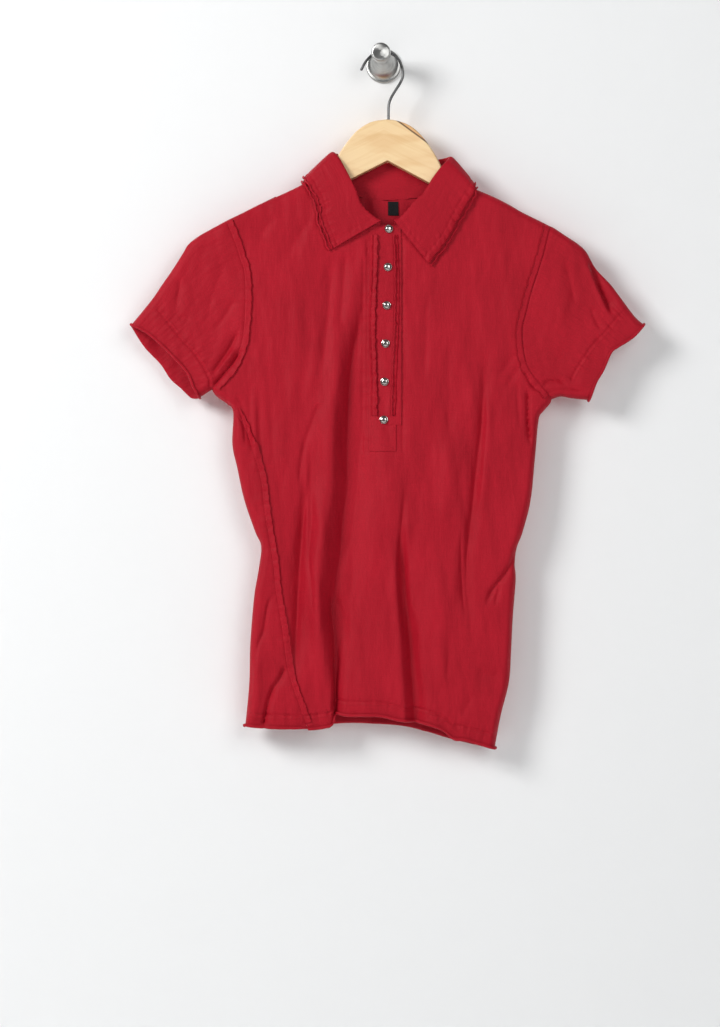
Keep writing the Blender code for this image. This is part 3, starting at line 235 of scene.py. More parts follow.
# --- folds: depth sinks the cloth, a minus raises it ---------------------------
FOLD_GAIN = 1.42         # how much deeper the folds are than in the table
SHARP_FOLD, SOFT_FOLD, RIDGE = 1.2, 1.4, 2      # powers of a fold's slope
NARROW = 0.004           # a fold with less reach than this is sharp
FRONT_FOLDS = folds(FRONT, (
    (62, 78, 130, 22, 10, -185, 2192, -215, 2496, -255, 2821, -310, 3146, -360, 3580, -375, 4014,
     -385, 4556, -420, 4990, -460, 5316, -505, 5587, -525, 5858, -510, 6183, -500, 6454),
    (48, 160, 240, 30, 14, -130, 2496, -160, 2821, -190, 3146, -215, 3580, -235, 3905, -290, 4556,
     -320, 4990, -330, 5424, -355, 5750, -410, 6075, -465, 6509, -515, 6943),
    (-42, 120, 90, 30, 10, -460, 2600, -520, 3300, -560, 3905, -575, 4556, -620, 4990, -685, 5480,
     -710, 5858, -670, 6300, -635, 6943),
    (85, 17, 60, 16, 0, -584, 5749, -551, 6075, -535, 6400, -529, 6834, -529, 7322),
    (16, 22, 14, 30, 30, -247, 2875, -291, 3038, -345, 3363, -377, 3689, -388, 4123),
    (-14, 30, 30, 30, 30, -377, 4285, -388, 4773, -410, 5207),
    (16, 16, 24, 10, 20, -692, 3710, -800, 3992, -866, 4188, -909, 4448, -920, 4665),
    (54, 66, 60, 35, 20, -780, 4079, -820, 4556, -855, 4882, -890, 5207, -910, 5478, -925, 5749,
     -940, 6021, -955, 6292, -965, 6800),
    (16, 22, 30, 30, 30, -768, 4665, -779, 4947, -800, 5207, -811, 5424, -779, 5749, -768, 6129),
    (-18, 28, 30, 30, 30, -833, 4231, -833, 4773, -855, 5261),
    (-20, 70, 70, 30, 20, -670, 4448, -681, 5099, -725, 5587, -714, 6075, -670, 6726),
    (24, 22, 34, 35, 20, 252, 4448, 219, 4773, 187, 5099, 176, 5424, 187, 5749, 208, 6075,
     230, 6346),
    (68, 62, 90, 22, 0, 215, 5000, 225, 5533, 245, 5858, 280, 6292, 300, 6617, 320, 6888,
     335, 7268),
    (-16, 60, 40, 22, 0, 110, 5100, 118, 5533, 140, 5858, 170, 6292, 190, 6617, 210, 6888,
     225, 7268),
    (26, 60, 75, 30, 0, 284, 5858, 328, 6400, 371, 6834, 393, 7268),
    (-14, 22, 50, 30, 30, 262, 4828, 252, 5316, 273, 5749, 338, 6183),
    (-16, 90, 90, 30, 10, 566, 5424, 610, 6075, 653, 6834),
    (40, 55, 62, 30, 30, 1110, 2984, 1090, 3472, 1070, 3906, 1030, 4231, 985, 4632, 930, 5099,
     900, 5424, 900, 5749, 935, 6021, 995, 6400),
    (-18, 30, 60, 30, 30, 1119, 3472, 1119, 3960, 1087, 4448, 1022, 4990),
    (18, 30, 22, 30, 30, 837, 4990, 837, 5424, 859, 5858, 902, 6097),
    (-18, 90, 110, 30, 30, 718, 3906, 675, 4556, 610, 5207),
    (34, 22, 30, 5, 25, 1466, 5261, 1369, 5478, 1293, 5598, 1174, 5749, 1087, 5945),
    (18, 18, 18, 20, 30, 1260, 5674, 1228, 5804, 1195, 5923),
    (10, 60, 60, 30, 30, 1000, 6595, 1174, 6682, 1260, 6595),
    (10, 40, 50, 30, 30, 1011, 6834, 892, 7008, 816, 7138),
    (12, 50, 50, 30, 30, 729, 6129, 707, 6400, 675, 6834),
    (18, 18, 28, 20, 20, -1137, 5771, -1234, 5858, -1278, 6031, -1299, 6183, -1375, 6379,
     -1408, 6639),
    (36, 18, 34, 15, 0, -1061, 6552, -1115, 6682, -1202, 6812, -1256, 6964, -1299, 7181),
    (15, 24, 24, 30, 30, -1440, 6465, -1430, 6726, -1451, 6943),
    (14, 30, 22, 30, 30, -1440, 4828, -1375, 5044, -1332, 5261),
    (-16, 60, 60, 30, 10, -1364, 6292, -1375, 6834, -1397, 7181),
    (16, 20, 30, 20, 30, -1625, 3667, -1560, 3819, -1516, 3992, -1495, 4231),
    (12, 20, 28, 20, 30, -1603, 3602, -1495, 3906, -1451, 4253),
    (12, 26, 30, 30, 30, -1462, 3450, -1451, 3906, -1430, 4394),
    (12, 26, 30, 30, 30, -1354, 3515, -1343, 4014, -1321, 4448),
    (9, 30, 30, 30, 30, -1223, 3580, -1213, 4014, -1191, 4448),
    (-10, 30, 30, 30, 30, -1408, 3526, -1397, 4014, -1375, 4448),
    (11, 60, 45, 30, 30, -1137, 1682, -1256, 1802, -1386, 1986),
    (12, 70, 55, 30, 30, -779, 1682, -876, 1845, -1017, 2084, -1082, 2257),
    (24, 75, 65, 30, 30, -540, 2062, -584, 2496, -627, 3038, -670, 3472),
    (22, 60, 60, 20, 30, -410, 2062, -443, 2496, -486, 2984),
    (-12, 80, 80, 30, 30, -909, 2496, -952, 3146, -1017, 3906),
    (-10, 60, 60, 30, 30, -714, 2604, -757, 3363, -779, 3689),
    (9, 40, 40, 30, 30, 219, 2604, 230, 3363, 219, 4231),
    (9, 50, 50, 30, 30, 696, 2930, 707, 3689, 675, 4339),
    (10, 50, 50, 30, 30, 479, 2279, 458, 2930, 436, 3689),
    (34, 24, 16, 20, 25, 1553, 3526, 1564, 3689, 1564, 3960, 1597, 4231),
    (12, 22, 22, 20, 30, 1445, 3472, 1456, 3689, 1466, 4014),
    (14, 22, 26, 30, 20, 1304, 3602, 1390, 3450, 1488, 3309),
    (12, 26, 26, 30, 20, 1217, 3472, 1347, 3298, 1456, 3168),
    (14, 20, 24, 20, 30, 1510, 3374, 1586, 3515, 1672, 3624),
    (58, 14, 80, 12, 25, 2225, 2180, 2270, 2300, 2340, 2480, 2420, 2660, 2480, 2780),
    (-12, 40, 22, 15, 25, 2195, 2190, 2240, 2310, 2310, 2490, 2390, 2670, 2450, 2790),
    (16, 22, 30, 30, 30, 2236, 2658, 2291, 2821, 2367, 2951),
    (14, 40, 30, 30, 30, 1954, 2149, 2020, 2387, 2085, 2713),
    (18, 18, 18, 20, 30, 1705, 3569, 1781, 3493, 1889, 3483, 1998, 3537),
    (16, 16, 16, 20, 20, 1727, 3656, 1824, 3602, 2020, 3580, 2215, 3624),
    (-12, 90, 90, 30, 30, 1911, 2496, 1933, 2930, 1911, 3255),
    (14, 30, 22, 30, 30, -2200, 2344, -2221, 2517, -2254, 2713),
    (12, 40, 30, 30, 30, -1592, 2561, -1733, 2799, -1874, 2984),
    (30, 34, 30, 25, 20, -1560, 2908, -1668, 3125, -1787, 3309, -1885, 3428),
    (30, 26, 30, 20, 15, -1527, 3146, -1668, 3331, -1787, 3472, -1874, 3559),
    (-14, 26, 26, 30, 30, -1581, 3103, -1711, 3266, -1831, 3407),
    (10, 30, 30, 30, 30, -2102, 2843, -2167, 2799, -2232, 2821),
    (10, 50, 50, 30, 30, -1711, 2192, -1842, 2496, -1928, 2821),
))
BACK_FOLDS = folds(BACK, (
    (45, 60, 110, 25, 0, -560, 2600, -640, 4000, -700, 5000, -730, 6200, -760, 7300),
    (50, 100, 55, 30, 0, 310, 3000, 350, 4200, 360, 5500, 400, 6500, 420, 7400),
    (32, 60, 90, 25, 0, 960, 2900, 900, 4000, 880, 5000, 920, 6300, 960, 7500),
    (30, 90, 60, 35, 0, -180, 4200, -150, 5600, -120, 7300),
    (-22, 160, 160, 30, 0, 80, 3600, 80, 5600, 140, 7300),
    (22, 22, 34, 20, 30, -1050, 4400, -1010, 5200, -1060, 6000),
    (18, 34, 22, 20, 30, 620, 4600, 650, 5400, 640, 6400),
    (20, 24, 30, 20, 30, -1560, 3480, -1350, 3300, -1150, 2900),
    (20, 30, 24, 20, 30, 1540, 3550, 1340, 3350, 1180, 2950),
    (16, 20, 30, 20, 30, -1500, 3900, -1420, 4400, -1330, 4900),
    (16, 30, 20, 20, 30, 1500, 4000, 1400, 4500, 1330, 5000),
    (26, 30, 26, 20, 30, -1600, 3000, -1750, 3250, -1920, 3450),
    (24, 26, 30, 20, 30, 1620, 3050, 1800, 3280, 2020, 3500),
    (14, 50, 50, 30, 30, -900, 1850, -1050, 2250, -1150, 2700),
    (14, 50, 50, 30, 30, 950, 1850, 1080, 2250, 1150, 2700),
))

RIPPLE_SEED = 11
RIPPLES = [              # across, down, height, count
    (0.090, 0.260, 0.0007, 6),
    (0.034, 0.130, 0.00040, 9),
    (0.018, 0.085, 0.00019, 10),
    (0.011, 0.034, 0.00010, 12),
]

# --- stitching -----------------------------------------------------------------
HEM_STITCH, HEM_STITCH_STEP, CUFF_STITCH_STEP = 0.0145, 0.0035, 0.0032
STITCH_STEP, STITCH_LENGTH, STITCH_HALF, STITCH_SIDES = 0.0033, 0.0025, 0.00022, 6
STITCH_OUT = 0.35        # how far a thread's middle stands out, in its half thicknesses
STITCH_RINGS = ((-0.75, 0.75), (0, 1), (0.75, 0.75))   # along and radius, as shares
CUFF_STITCH = {
    ("left", FRONT): marks(-2443, 2713, -2243, 2973, -2026, 3222, -1900, 3439, -1885, 3548),
    ("right", FRONT): marks(2649, 2691, 2530, 2799, 2410, 2940, 2258, 3103, 2095, 3341, 2030, 3472),
}
SEAMS = [                # grooves and puckers along the stitching
    *(Seam(face, 0.0014, 0.0013, 0.00055, 0.0080, wave, moved(HEM[face], 0, -HEM_STITCH))
      for face, wave in ((FRONT, 0.011), (BACK, 0.012))),
    *(Seam(FRONT, 0.0012, 0.0013, 0.00055, 0.0080, 0.010, path) for path in CUFF_STITCH.values()),
    *(Seam(face, 0.0006, 0.0016, 0.00040, 0.0090, wave, ARMHOLE[side, face])
      for face in (FRONT, BACK) for side, wave in (("left", 0.013), ("right", 0.014))),
    Seam(FRONT, 0.0006, 0.0018, 0.00060, 0.0080, 0.012, SIDE_SEAM[3:]),
    *(Seam(FRONT, 0.0011, 0.0011, 0.00035, 0.0040, wave, path) for wave, path in (
        (0.014, marks(-222, 2160, -230, 4250)), (0.012, marks(-176, 1950, -182, 4250)),
        (0.013, marks(203, 1950, 203, 4250)))),
]

# --- raw strips ----------------------------------------------------------------
ARMHOLE_RAW = dict(width=0.0062, lift=0.0005, roll=0.0004, wave=0.012, turn=160,
                   start=0.012, end=0.97)
SIDE_RAW = dict(width=0.0055, side=1, lift=0.0006, roll=0.0004, wave=0.011, turn=130,
                start=0.09, end=0.985)
BAND_OUT = GAP + THIN
PLACKET_RAW = dict(lift=0.0009 + BAND_OUT, roll=0.00045, turn=210)
STRIP_ROW = 0.0014
STRIP_STEPS, STRIP_ROLL_STEPS = 11, 8
FRAY, LIFT_CHANGE = 0.10, 0.45                   # shares by which its width and lift vary
WELT, WELT_AT, WELT_HALF = 0.7, 0.2, 0.12        # its rise beside the seam, as shares

# --- placket, snaps and label --------------------------------------------------
BAND_LEFT, BAND_RIGHT = -0.0158, 0.0185
BAND_TOP, BAND_END = 0.1812, 0.4247
BOX_TOP, BOX_RIGHT = 0.3960, 0.0132
BAND_ROWS, BOX_ROWS, BAND_COLUMNS = 110, 18, 30
BAND_FRAY = 0.0003       # how far its edges come and go
BOX_STEP = 0.0002        # the drop in which it narrows to its box
STRIP_TOP, STRIP_END = 0.1905, 0.3860
LEFT_RAW_X, LEFT_RAW_SWAY, LEFT_RAW_WAVES = -0.0146, 0.0011, 38
RIGHT_RAW_X, RIGHT_RAW_BOW, RIGHT_RAW_SPAN = 0.0152, 0.0016, 0.13
RIGHT_RAW_LEAN, RIGHT_RAW_LEAN_TOP = 0.030, 0.36       # it leans in below this drop
SNAP_COUNT, SNAP_SIDES = 6, 40
SNAP_FIRST = Mark(0.0052, 0.1839)
SNAP_STEP = Mark(-0.00102, 0.04134)
SNAP_PROFILE = [Turned(*row) for row in (
    (0, 0.0030), (0, 0.0040), (0.0004, 0.00435), (0.0009, 0.00445), (0.0014, 0.0043),
    (0.0015, 0.0040), (0.0013, 0.0037), (0.0017, 0.0035), (0.0022, 0.0031),
    (0.0026, 0.0024), (0.0028, 0.0015), (0.00288, 0.0006))]
LABEL_LEFT, LABEL_RIGHT = 0.0046, 0.0160
LABEL_TOP, LABEL_END = 0.1522, 0.1672
LABEL_ROWS, LABEL_COLUMNS = 14, 10
TAPE = 0.0007            # the label's thickness

# --- hanger, wire and wall hook ------------------------------------------------
HANGER_HALF = 0.0062
HANGER_ROUND = 0.0062
HANGER_UNDER = 0.0021    # from the shoulder's outer side down to the hanger's arm
HANGER_APEX = Mark(0.0040, 0.1100)
HANGER_HUMP = rims(-690, 1345, 100, -632, 1285, 80, -582, 1205, 50, -540, 1110, 35, -489, 1015, 35,
                   -406, 894, 35, -293, 763, 35, -144, 669, 35, 5, 641, 35, 52, 641, 35,
                   137, 651, 35, 286, 706, 35, 416, 819, 35, 528, 969, 35, 622, 1137, 35,
                   668, 1245, 50, 722, 1335, 80, 790, 1392, 100)
HANGER_END = {
    "left": rims(-2105, 2030, 90, -2100, 2105, 70, -2030, 2150, 40),
    "right": rims(2115, 2045, 90, 2115, 2120, 70, 2050, 2170, 40),
}
HANGER_ARM = {"left": (-0.0840, -0.2040), "right": (0.0930, 0.2050)}
UNDERSIDE_SLOPE = {"left": 0.506, "right": 0.5358}
UNDERSIDE_END = {"left": -0.1940, "right": 0.1950}
ARM_STEPS, HANGER_RINGS = 9, 15
EDGE_SOFT, UNDER_SOFT = 1.0, 0.2                 # how round the arms' edges are

WIRE_RADIUS, WIRE_SIDES = 0.00145, 18
WIRE_TIP = ((0.4, 0.92), (0.75, 0.66), (0.95, 0.30))    # its rounding: along, radius
WIRE_ROUTE = marks(52, 637, 51, 546, 57, 470, 79, 405, 126, 325, 177, 245, 205, 180, 208, 120,
                   195, 60, 160, -15, 95, -70, -8, -95, -106, -74, -190, 2, -242, 95)

KNOB_SHIFT = Mark(-0.0032, -0.0050)
KNOB_Y = -0.0500
TURNED_SIDES = 96
KNOB_PROFILE = turning(-38, 165, -60, 138, -100, 108, -160, 80, -230, 60, -300, 52, -360, 56,
                       -400, 78, -430, 98, -465, 105, -510, 104, -532, 98, -540, 86, -548, 50,
                       -554, 12)
PLATE_FINE = turning(0, 190, -18, 190, -24, 188, -27, 184, -29, 178, -36, 150, -44, 110, -50, 60)

# --- setting -------------------------------------------------------------------
WALL_PLANE = 0.0004
STAGE_HALF, STAGE_TOP, STAGE_DEPTH = 3.0, 1.6, 4.5
FLOOR, SWEEP = -1.30, 0.22
STAGE_COLOUR = (0.86, 0.865, 0.865)
AIM = (0, 0, -0.40)
LIGHTS = [               # name, place, size, power
    ("key", (-1.8, -1.74, 0.61), 1.0, 50),
    ("fill", (1.09, -2.46, 0.37), 1.6, 23),
    ("behind", (-0.5, 2.4, 0.5), 1.6, 34),
]
WORLD_COLOUR, WORLD_STRENGTH = (0.95, 0.97, 1.0), 0.16
CAMERA_PLACE, CAMERA_LENS, CAMERA_SENSOR = (-0.0258, -2.535, -0.492), 80.8, 36


# --- smooth lines --------------------------------------------------------------
def smooth(points, steps):
    """A curve through all the given points, which may also be whole rows of points."""
    points = np.asarray(points, float)
    ends = np.concatenate((points[:1], points, points[-1:]))
    t = (np.arange(steps) / steps).reshape(-1, *[1] * (points.ndim - 1))
    spans = [(before * (-t + 2 * t**2 - t**3) + start * (2 - 5 * t**2 + 3 * t**3)
              + stop * (t + 4 * t**2 - 3 * t**3) + after * (-t**2 + t**3)) / 2
             for before, start, stop, after in zip(ends, ends[1:], ends[2:], ends[3:])]
    return np.concatenate((*spans, points[-1:]))


def unit(vectors):
    return vectors / np.maximum(np.linalg.norm(vectors, axis=-1, keepdims=True), 1e-12)


def right_of(headings):
    """The directions to the right of headings in the garment's plane, going down."""
    return np.column_stack((headings[:, 1], -headings[:, 0]))


def run_along(rows):
    """How far along a run of points each of them lies."""
    return np.concatenate(([0], np.cumsum(np.linalg.norm(np.diff(rows, axis=0), axis=1))))


def beside_stretches(points, start, run):
    """In parts: the ways, shares and distances from points to stretches, rows, nearest ones."""
    size = (run**2).sum(1)
    for few in np.array_split(points, len(points) // 3000 + 1):
        away = few[:, None] - start
        share = np.clip((away * run).sum(2) / size, 0, 1)
        away -= share[..., None] * run
        distance = np.hypot(away[..., 0], away[..., 1])
        yield away, share, distance, np.arange(len(few)), distance.argmin(1)


class Line:
    """A smooth line in the garment's plane, read by its share of length or by its x."""

    def __init__(self, points, steps=8):
        self.points = smooth(points, steps)
        runs = np.hypot(*np.diff(self.points, axis=0).T)
        self.length = runs.sum()
        self.shares = np.concatenate(([0], np.cumsum(runs))) / self.length

    def at(self, share):
        return np.stack([np.interp(share, self.shares, axis) for axis in self.points.T], -1)

    def drop_at(self, x):
        order = np.argsort(self.points[:, 0])
        return np.interp(x, self.points[order, 0], self.points[order, 1])

    def beside(self, points):
        """Of each point: its distance, whether it is on the right going down, its share along."""
        start, run = self.points[:-1], np.diff(self.points, axis=0)
        found = []
        for away, share, distance, row, near in beside_stretches(points, start, run):
            crossing = away[row, near, 0] * run[near, 1] - away[row, near, 1] * run[near, 0]
            along = np.interp(near + share[row, near], range(len(self.points)), self.shares)
            found.append((distance[row, near], crossing > 0, along))
        return [np.concatenate(part) for part in zip(*found)]


def side_sign(side):
    return -1 if side == "left" else 1


def uneven(distance, wave, seed=0.0):
    """A soft uneven wave along a distance, between about -1 and 1."""
    turn = 2 * pi * distance / wave + seed
    return (0.5 * np.sin(turn) + 0.3 * np.sin(1.73 * turn + 1.3 + seed)
            + 0.3 * np.sin(0.61 * turn + 4.0 * seed) + 0.2 * np.sin(2.9 * turn + 2.1))


class Outline:
    """The fold edges, and how far inside them points of the cloth lie."""

    CORNER = 0.0015          # how far a corner's two edges share their directions
    CLOSE = 1e-5             # nearer than this, a point is on the edge

    def __init__(self):
        starts, ends, inwards = [], [], []
        for lines in (SHOULDER, SLEEVE_TOP, UNDERARM, SIDE):
            for side, points in lines.items():
                dense = Line(points).points
                starts.append(dense[:-1])
                ends.append(dense[1:])
                inwards.append(-side_sign(side) * right_of(unit(np.diff(dense, axis=0))))
        self.start = np.vstack(starts)
        self.run = np.vstack(ends) - self.start
        self.inward = np.vstack(inwards)

    def inside(self, points):
        """Distances in from the nearest fold edge, and the directions straight in."""
        found = []
        for away, _, distance, row, near in beside_stretches(points, self.start, self.run):
            nearest, way = distance[row, near], away[row, near]
            close = nearest < self.CLOSE
            weight = np.where(close[:, None], np.exp(-(distance / self.CORNER)**2),
                              distance < nearest[:, None] + 1e-7)
            meeting = weight @ self.inward
            sign = np.where((way * meeting).sum(1) >= 0, 1, -1)
            inward = np.where(close[:, None], unit(meeting),
                              sign[:, None] * way / np.maximum(nearest, 1e-9)[:, None])
            found.append((np.where(close, 0, sign * nearest), inward))
        return [np.concatenate(part) for part in zip(*found)]


OUTLINE = Outline()


# --- the folds' heights --------------------------------------------------------
CELL = 0.0008
FIELD_LEFT, FIELD_RIGHT = -0.300, 0.310
FIELD_TOP, FIELD_END = 0.080, 0.775


class Relief:
    """How far one face of the cloth stands from the middle plane, on a fine field."""

    def __init__(self, face):
        self.xs = np.arange(FIELD_LEFT, FIELD_RIGHT, CELL)
        self.drops = np.arange(FIELD_TOP, FIELD_END, CELL)
        base = np.interp(self.drops, DEPTH_DROPS, HALF_DEPTHS)
        self.half = np.tile(base[:, None], (1, len(self.xs)))
        for fold in FRONT_FOLDS if face == FRONT else BACK_FOLDS:
            self.press(fold)
        for seam in SEAMS:
            if seam.face == face:
                self.sew(seam)
        self.ripple(face)
        self.slope_drop, self.slope_x = np.gradient(self.half, CELL)

    def window(self, line, reach):
        """The part of the field within reach of a line, and where its points lie beside it."""
        low, high = line.points.min(0) - reach, line.points.max(0) + reach
        columns = np.flatnonzero((self.xs > low[0]) & (self.xs < high[0]))
        rows = np.flatnonzero((self.drops > low[1]) & (self.drops < high[1]))
        part = np.ix_(rows, columns)
        points = np.stack(np.meshgrid(self.xs[columns], self.drops[rows]), -1).reshape(-1, 2)
        return part, [values.reshape(len(rows), -1) for values in line.beside(points)]

    def press(self, fold):
        line = Line(fold.path)
        part, (distance, right, along) = self.window(line, 2.5 * max(fold.left, fold.right))
        fade = np.ones_like(along)
        if fold.fade_in:
            fade *= np.clip(along / fold.fade_in, 0, 1)
        if fold.fade_out:
            fade *= np.clip((1 - along) / fold.fade_out, 0, 1)
        fade *= fade * (3 - 2 * fade)
        width = np.where(right, fold.right, fold.left)
        power = SHARP_FOLD if min(fold.left, fold.right) < NARROW else SOFT_FOLD
        if fold.depth < 0:
            power = RIDGE
        self.half[part] -= FOLD_GAIN * fold.depth * fade * np.exp(-(distance / width)**power)

    def sew(self, seam):
        line = Line(seam.path)
        part, (distance, _, along) = self.window(line, 2.2 * max(seam.reach, seam.width))
        wave = uneven(along * line.length, seam.wave, seam.path[0].x * 900)
        self.half[part] += (seam.pucker * wave * np.exp(-(distance / seam.reach)**2)
                            - seam.groove * np.exp(-(distance / seam.width)**2))

    def ripple(self, face):
        """Slight waves everywhere, longer down the cloth than across it."""
        chance = np.random.default_rng(RIPPLE_SEED + face)
        x, drop = np.meshgrid(self.xs, self.drops)
        for across, down, height, count in RIPPLES:
            for _ in range(count):
                turn = chance.uniform(0, 2 * pi)
                bent = chance.uniform(0.5, 1.3, 2) * (chance.choice((-1, 1)), 1)
                wave = np.sin(2 * pi * (bent[0] * x / across + bent[1] * drop / down) + turn)
                self.half += height / count**0.5 * wave

    def read(self, field, points):
        across = np.clip((points[:, 0] - FIELD_LEFT) / CELL, 0, len(self.xs) - 1.01)
        down = np.clip((points[:, 1] - FIELD_TOP) / CELL, 0, len(self.drops) - 1.01)
        column, row = across.astype(int), down.astype(int)
        u, v = across - column, down - row
        return ((1 - v) * ((1 - u) * field[row, column] + u * field[row, column + 1])
                + v * ((1 - u) * field[row + 1, column] + u * field[row + 1, column + 1]))


RELIEF = {face: Relief(face) for face in (FRONT, BACK)}


def cloth(points, face, on_edge=0.0, least=0.0):
    """Points of the cloth's outer side over flat points, and the directions straight out."""
    shape = np.shape(points)[:-1]
    flat = np.reshape(points, (-1, 2))
    face, on_edge, least = (np.broadcast_to(value, shape).ravel()
                            for value in (face, on_edge, least))
    inside, inward = OUTLINE.inside(flat)
    rise = np.where(on_edge != 0, 0, np.clip(inside / EDGE_RADIUS, 0, 1))
    bend = np.sqrt(rise * (2 - rise))
    half, slope_x, slope_drop = (
        np.where(face == FRONT, *(RELIEF[side].read(getattr(RELIEF[side], field), flat)
                                  for side in (FRONT, BACK)))
        for field in ("half", "slope_x", "slope_drop"))
    lean = half * (1 - rise) / EDGE_RADIUS
    normal = unit(np.column_stack((-lean * inward[:, 0] - slope_x * bend**2, face * bend,
                                   lean * inward[:, 1] + slope_drop * bend**2)))
    place = np.column_stack((flat[:, 0], MID_Y + face * np.maximum(half * bend, least),
                             -flat[:, 1]))
    return place.reshape(*shape, 3), normal.reshape(*shape, 3)


# --- meshes --------------------------------------------------------------------
def finish(name, vertices, faces, uv, material, nodes, sharp=60):
    """A named piece of the object, turned outwards, with its cloth coordinates in metres."""
    mesh = bpy.data.meshes.new(name)
    mesh.from_pydata(vertices.tolist(), [], [list(map(int, face)) for face in faces])
    body = bmesh.new()
    body.from_mesh(mesh)
    if body.calc_volume(signed=True) < 0:
        bmesh.ops.reverse_faces(body, faces=body.faces)
    body.to_mesh(mesh)
    body.free()
    if uv is not None:
        corners = np.empty(len(mesh.loops), int)
        mesh.loops.foreach_get("vertex_index", corners)
        mesh.uv_layers.new(name="cloth").data.foreach_set("uv", uv[corners].ravel())
    mesh.materials.append(MATERIALS[material])
    mesh.shade_smooth()
    mesh.set_sharp_from_angle(angle=radians(sharp))
    piece = bpy.data.objects.new(name, mesh)
    bpy.context.scene.collection.objects.link(piece)
    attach(piece, "root")
    if nodes:
        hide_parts(*nodes)


def thinned(outer, inner, kept):
    """The inner grid's kept rows, drawn in far enough to stay behind all the outer's rows."""
    straight_out = unit(outer - inner)
    push = np.zeros((len(kept), outer.shape[1]))
    for i, (first, last) in enumerate(zip(kept, kept[1:])):
        if last - first > 1:
            share = (np.arange(first + 1, last) - first)[:, None, None] / (last - first)
            between = slice(first + 1, last)
            chord = (1 - share) * inner[first] + share * inner[last]
            over = ((chord - inner[between]) * straight_out[between]).sum(2).max(0)
            push[i] = np.maximum(push[i], over)
            push[i + 1] = np.maximum(push[i + 1], over)
    return inner[kept] - push[..., None] * straight_out[kept]


def wall(name, middle, out, thickness, uv, nodes, material="jersey", ring=False, kept=None):
    """A closed wall about a grid of points; `ring` joins each row's ends.

    Its inner side may have only the `kept` ones of the outer side's rows.
    """
    outer, inner = middle + out * thickness / 2, middle - out * thickness / 2
    rows, columns = outer.shape[:2]
    kept = np.arange(rows) if kept is None else kept
    vertices = np.concatenate((outer.reshape(-1, 3), thinned(outer, inner, kept).reshape(-1, 3)))
    places = np.concatenate((uv.reshape(-1, 2), uv[kept].reshape(-1, 2)))
    spans = columns if ring else columns - 1

    def quads(*corners):
        """Faces from corners of (layer, row, column), any of which may be arrays."""
        indices = np.broadcast_arrays(*((layer * rows + row) * columns + column % columns
                                        for layer, row, column in corners))
        return np.column_stack([index.ravel() for index in indices]).tolist()

    def between(last_row):
        return np.meshgrid(np.arange(last_row), np.arange(spans), indexing="ij")

    row, column = between(rows - 1)
    faces = quads((0, row, column), (0, row, column + 1), (0, row + 1, column + 1),
                  (0, row + 1, column))
    row, column = between(len(kept) - 1)
    faces += quads((1, row, column), (1, row + 1, column), (1, row + 1, column + 1),
                   (1, row, column + 1))
    along, last, under = np.arange(spans), rows - 1, len(kept) - 1
    faces += quads((0, 0, along + 1), (0, 0, along), (1, 0, along), (1, 0, along + 1))
    faces += quads((0, last, along), (0, last, along + 1), (1, under, along + 1),
                   (1, under, along))
    if not ring:
        for i, (first, stop) in enumerate(zip(kept, kept[1:])):
            for column, way in ((0, 1), (columns - 1, -1)):
                rim = [row * columns + column for row in range(first, stop + 1)]
                rim += [(rows + i + 1) * columns + column, (rows + i) * columns + column]
                faces.append(rim[::way])
    finish(name, vertices, faces, places, material, nodes)


def tube_sides(rings, sides):
    """The quads between rings of points."""
    return [[ring + side, ring + (side + 1) % sides, ring + (side + 1) % sides + sides,
             ring + side + sides]
            for ring in range(0, (rings - 1) * sides, sides) for side in range(sides)]


def tube(name, vertices, sides, material, nodes, sharp):
    """A closed body through rings of points, flat at both ends."""
    count = len(vertices)
    ends = [list(range(sides)), list(range(count - sides, count))]
    finish(name, vertices, tube_sides(count // sides, sides) + ends, None, material, nodes, sharp)


def grid_normals(grid):
    """The direction straight out at each point of a grid, from its neighbours."""
    return unit(np.cross(np.gradient(grid, axis=1), np.gradient(grid, axis=0)))


def grid_uv(grid):
    """Cloth coordinates of a grid of points: the mean distance along its rows and columns."""
    across = np.linalg.norm(np.diff(grid, axis=1), axis=2).mean(0)
    down = np.linalg.norm(np.diff(grid, axis=0), axis=2).mean(1)
    u, v = np.concatenate(([0], np.cumsum(across))), np.concatenate(([0], np.cumsum(down)))
    return np.stack(np.meshgrid(u, -v), -1)


def rolled(middle, normals, radius, uv, turn=ROLL_TURN):
    """A grid whose last row is carried on in a roll outwards, as raw jersey curls."""
    down = unit(middle[-1] - middle[-3])
    rows, outs, places = [], [], []
    for angle in np.linspace(0, radians(turn), ROLL_STEPS + 1)[1:]:
        rows.append(middle[-1] + radius * (sin(angle) * down + (1 - cos(angle)) * normals[-1]))
        outs.append(cos(angle) * normals[-1] - sin(angle) * down)
        places.append(uv[-1] - (0, radius * angle))
    return (np.concatenate((middle, rows)), np.concatenate((normals, outs)),
            np.concatenate((uv, places)))


def finer(table, spacing):
    """Rows of a table, with more between them where they lie further apart than spacing."""
    values = np.array(table, float).reshape(len(table), -1)
    rows = [values[:1]]
    for start, stop in zip(values, values[1:]):
        count = max(2, ceil(np.abs(stop - start).max() / spacing))
        rows.append(start + (stop - start) * np.arange(1, count + 1)[:, None] / count)
    return np.concatenate(rows)


def finer_shares(shares, length, spacing):
    return finer(np.array(shares) * length, spacing)[:, 0] / length


# --- panels --------------------------------------------------------------------
YOKE = finer_shares(YOKE_SHARES, YOKE_LENGTH, FINE_ROW)
BODY = np.concatenate((finer_shares(BODY_SHARES, BODY_LENGTH, FINE_ROW),
                       finer_shares((HEM_DENSE, 1), BODY_LENGTH, HEM_ROW)[1:]))


def neck_marks(face):
    """The neckline's points, from left to right, as the collar is sewn to it."""
    stations = [row for row in COLLAR if row.turn == 90 or (row.turn < 90) == (face == FRONT)]
    return np.array(sorted((row.seam_x, row.seam_drop) for row in stations))


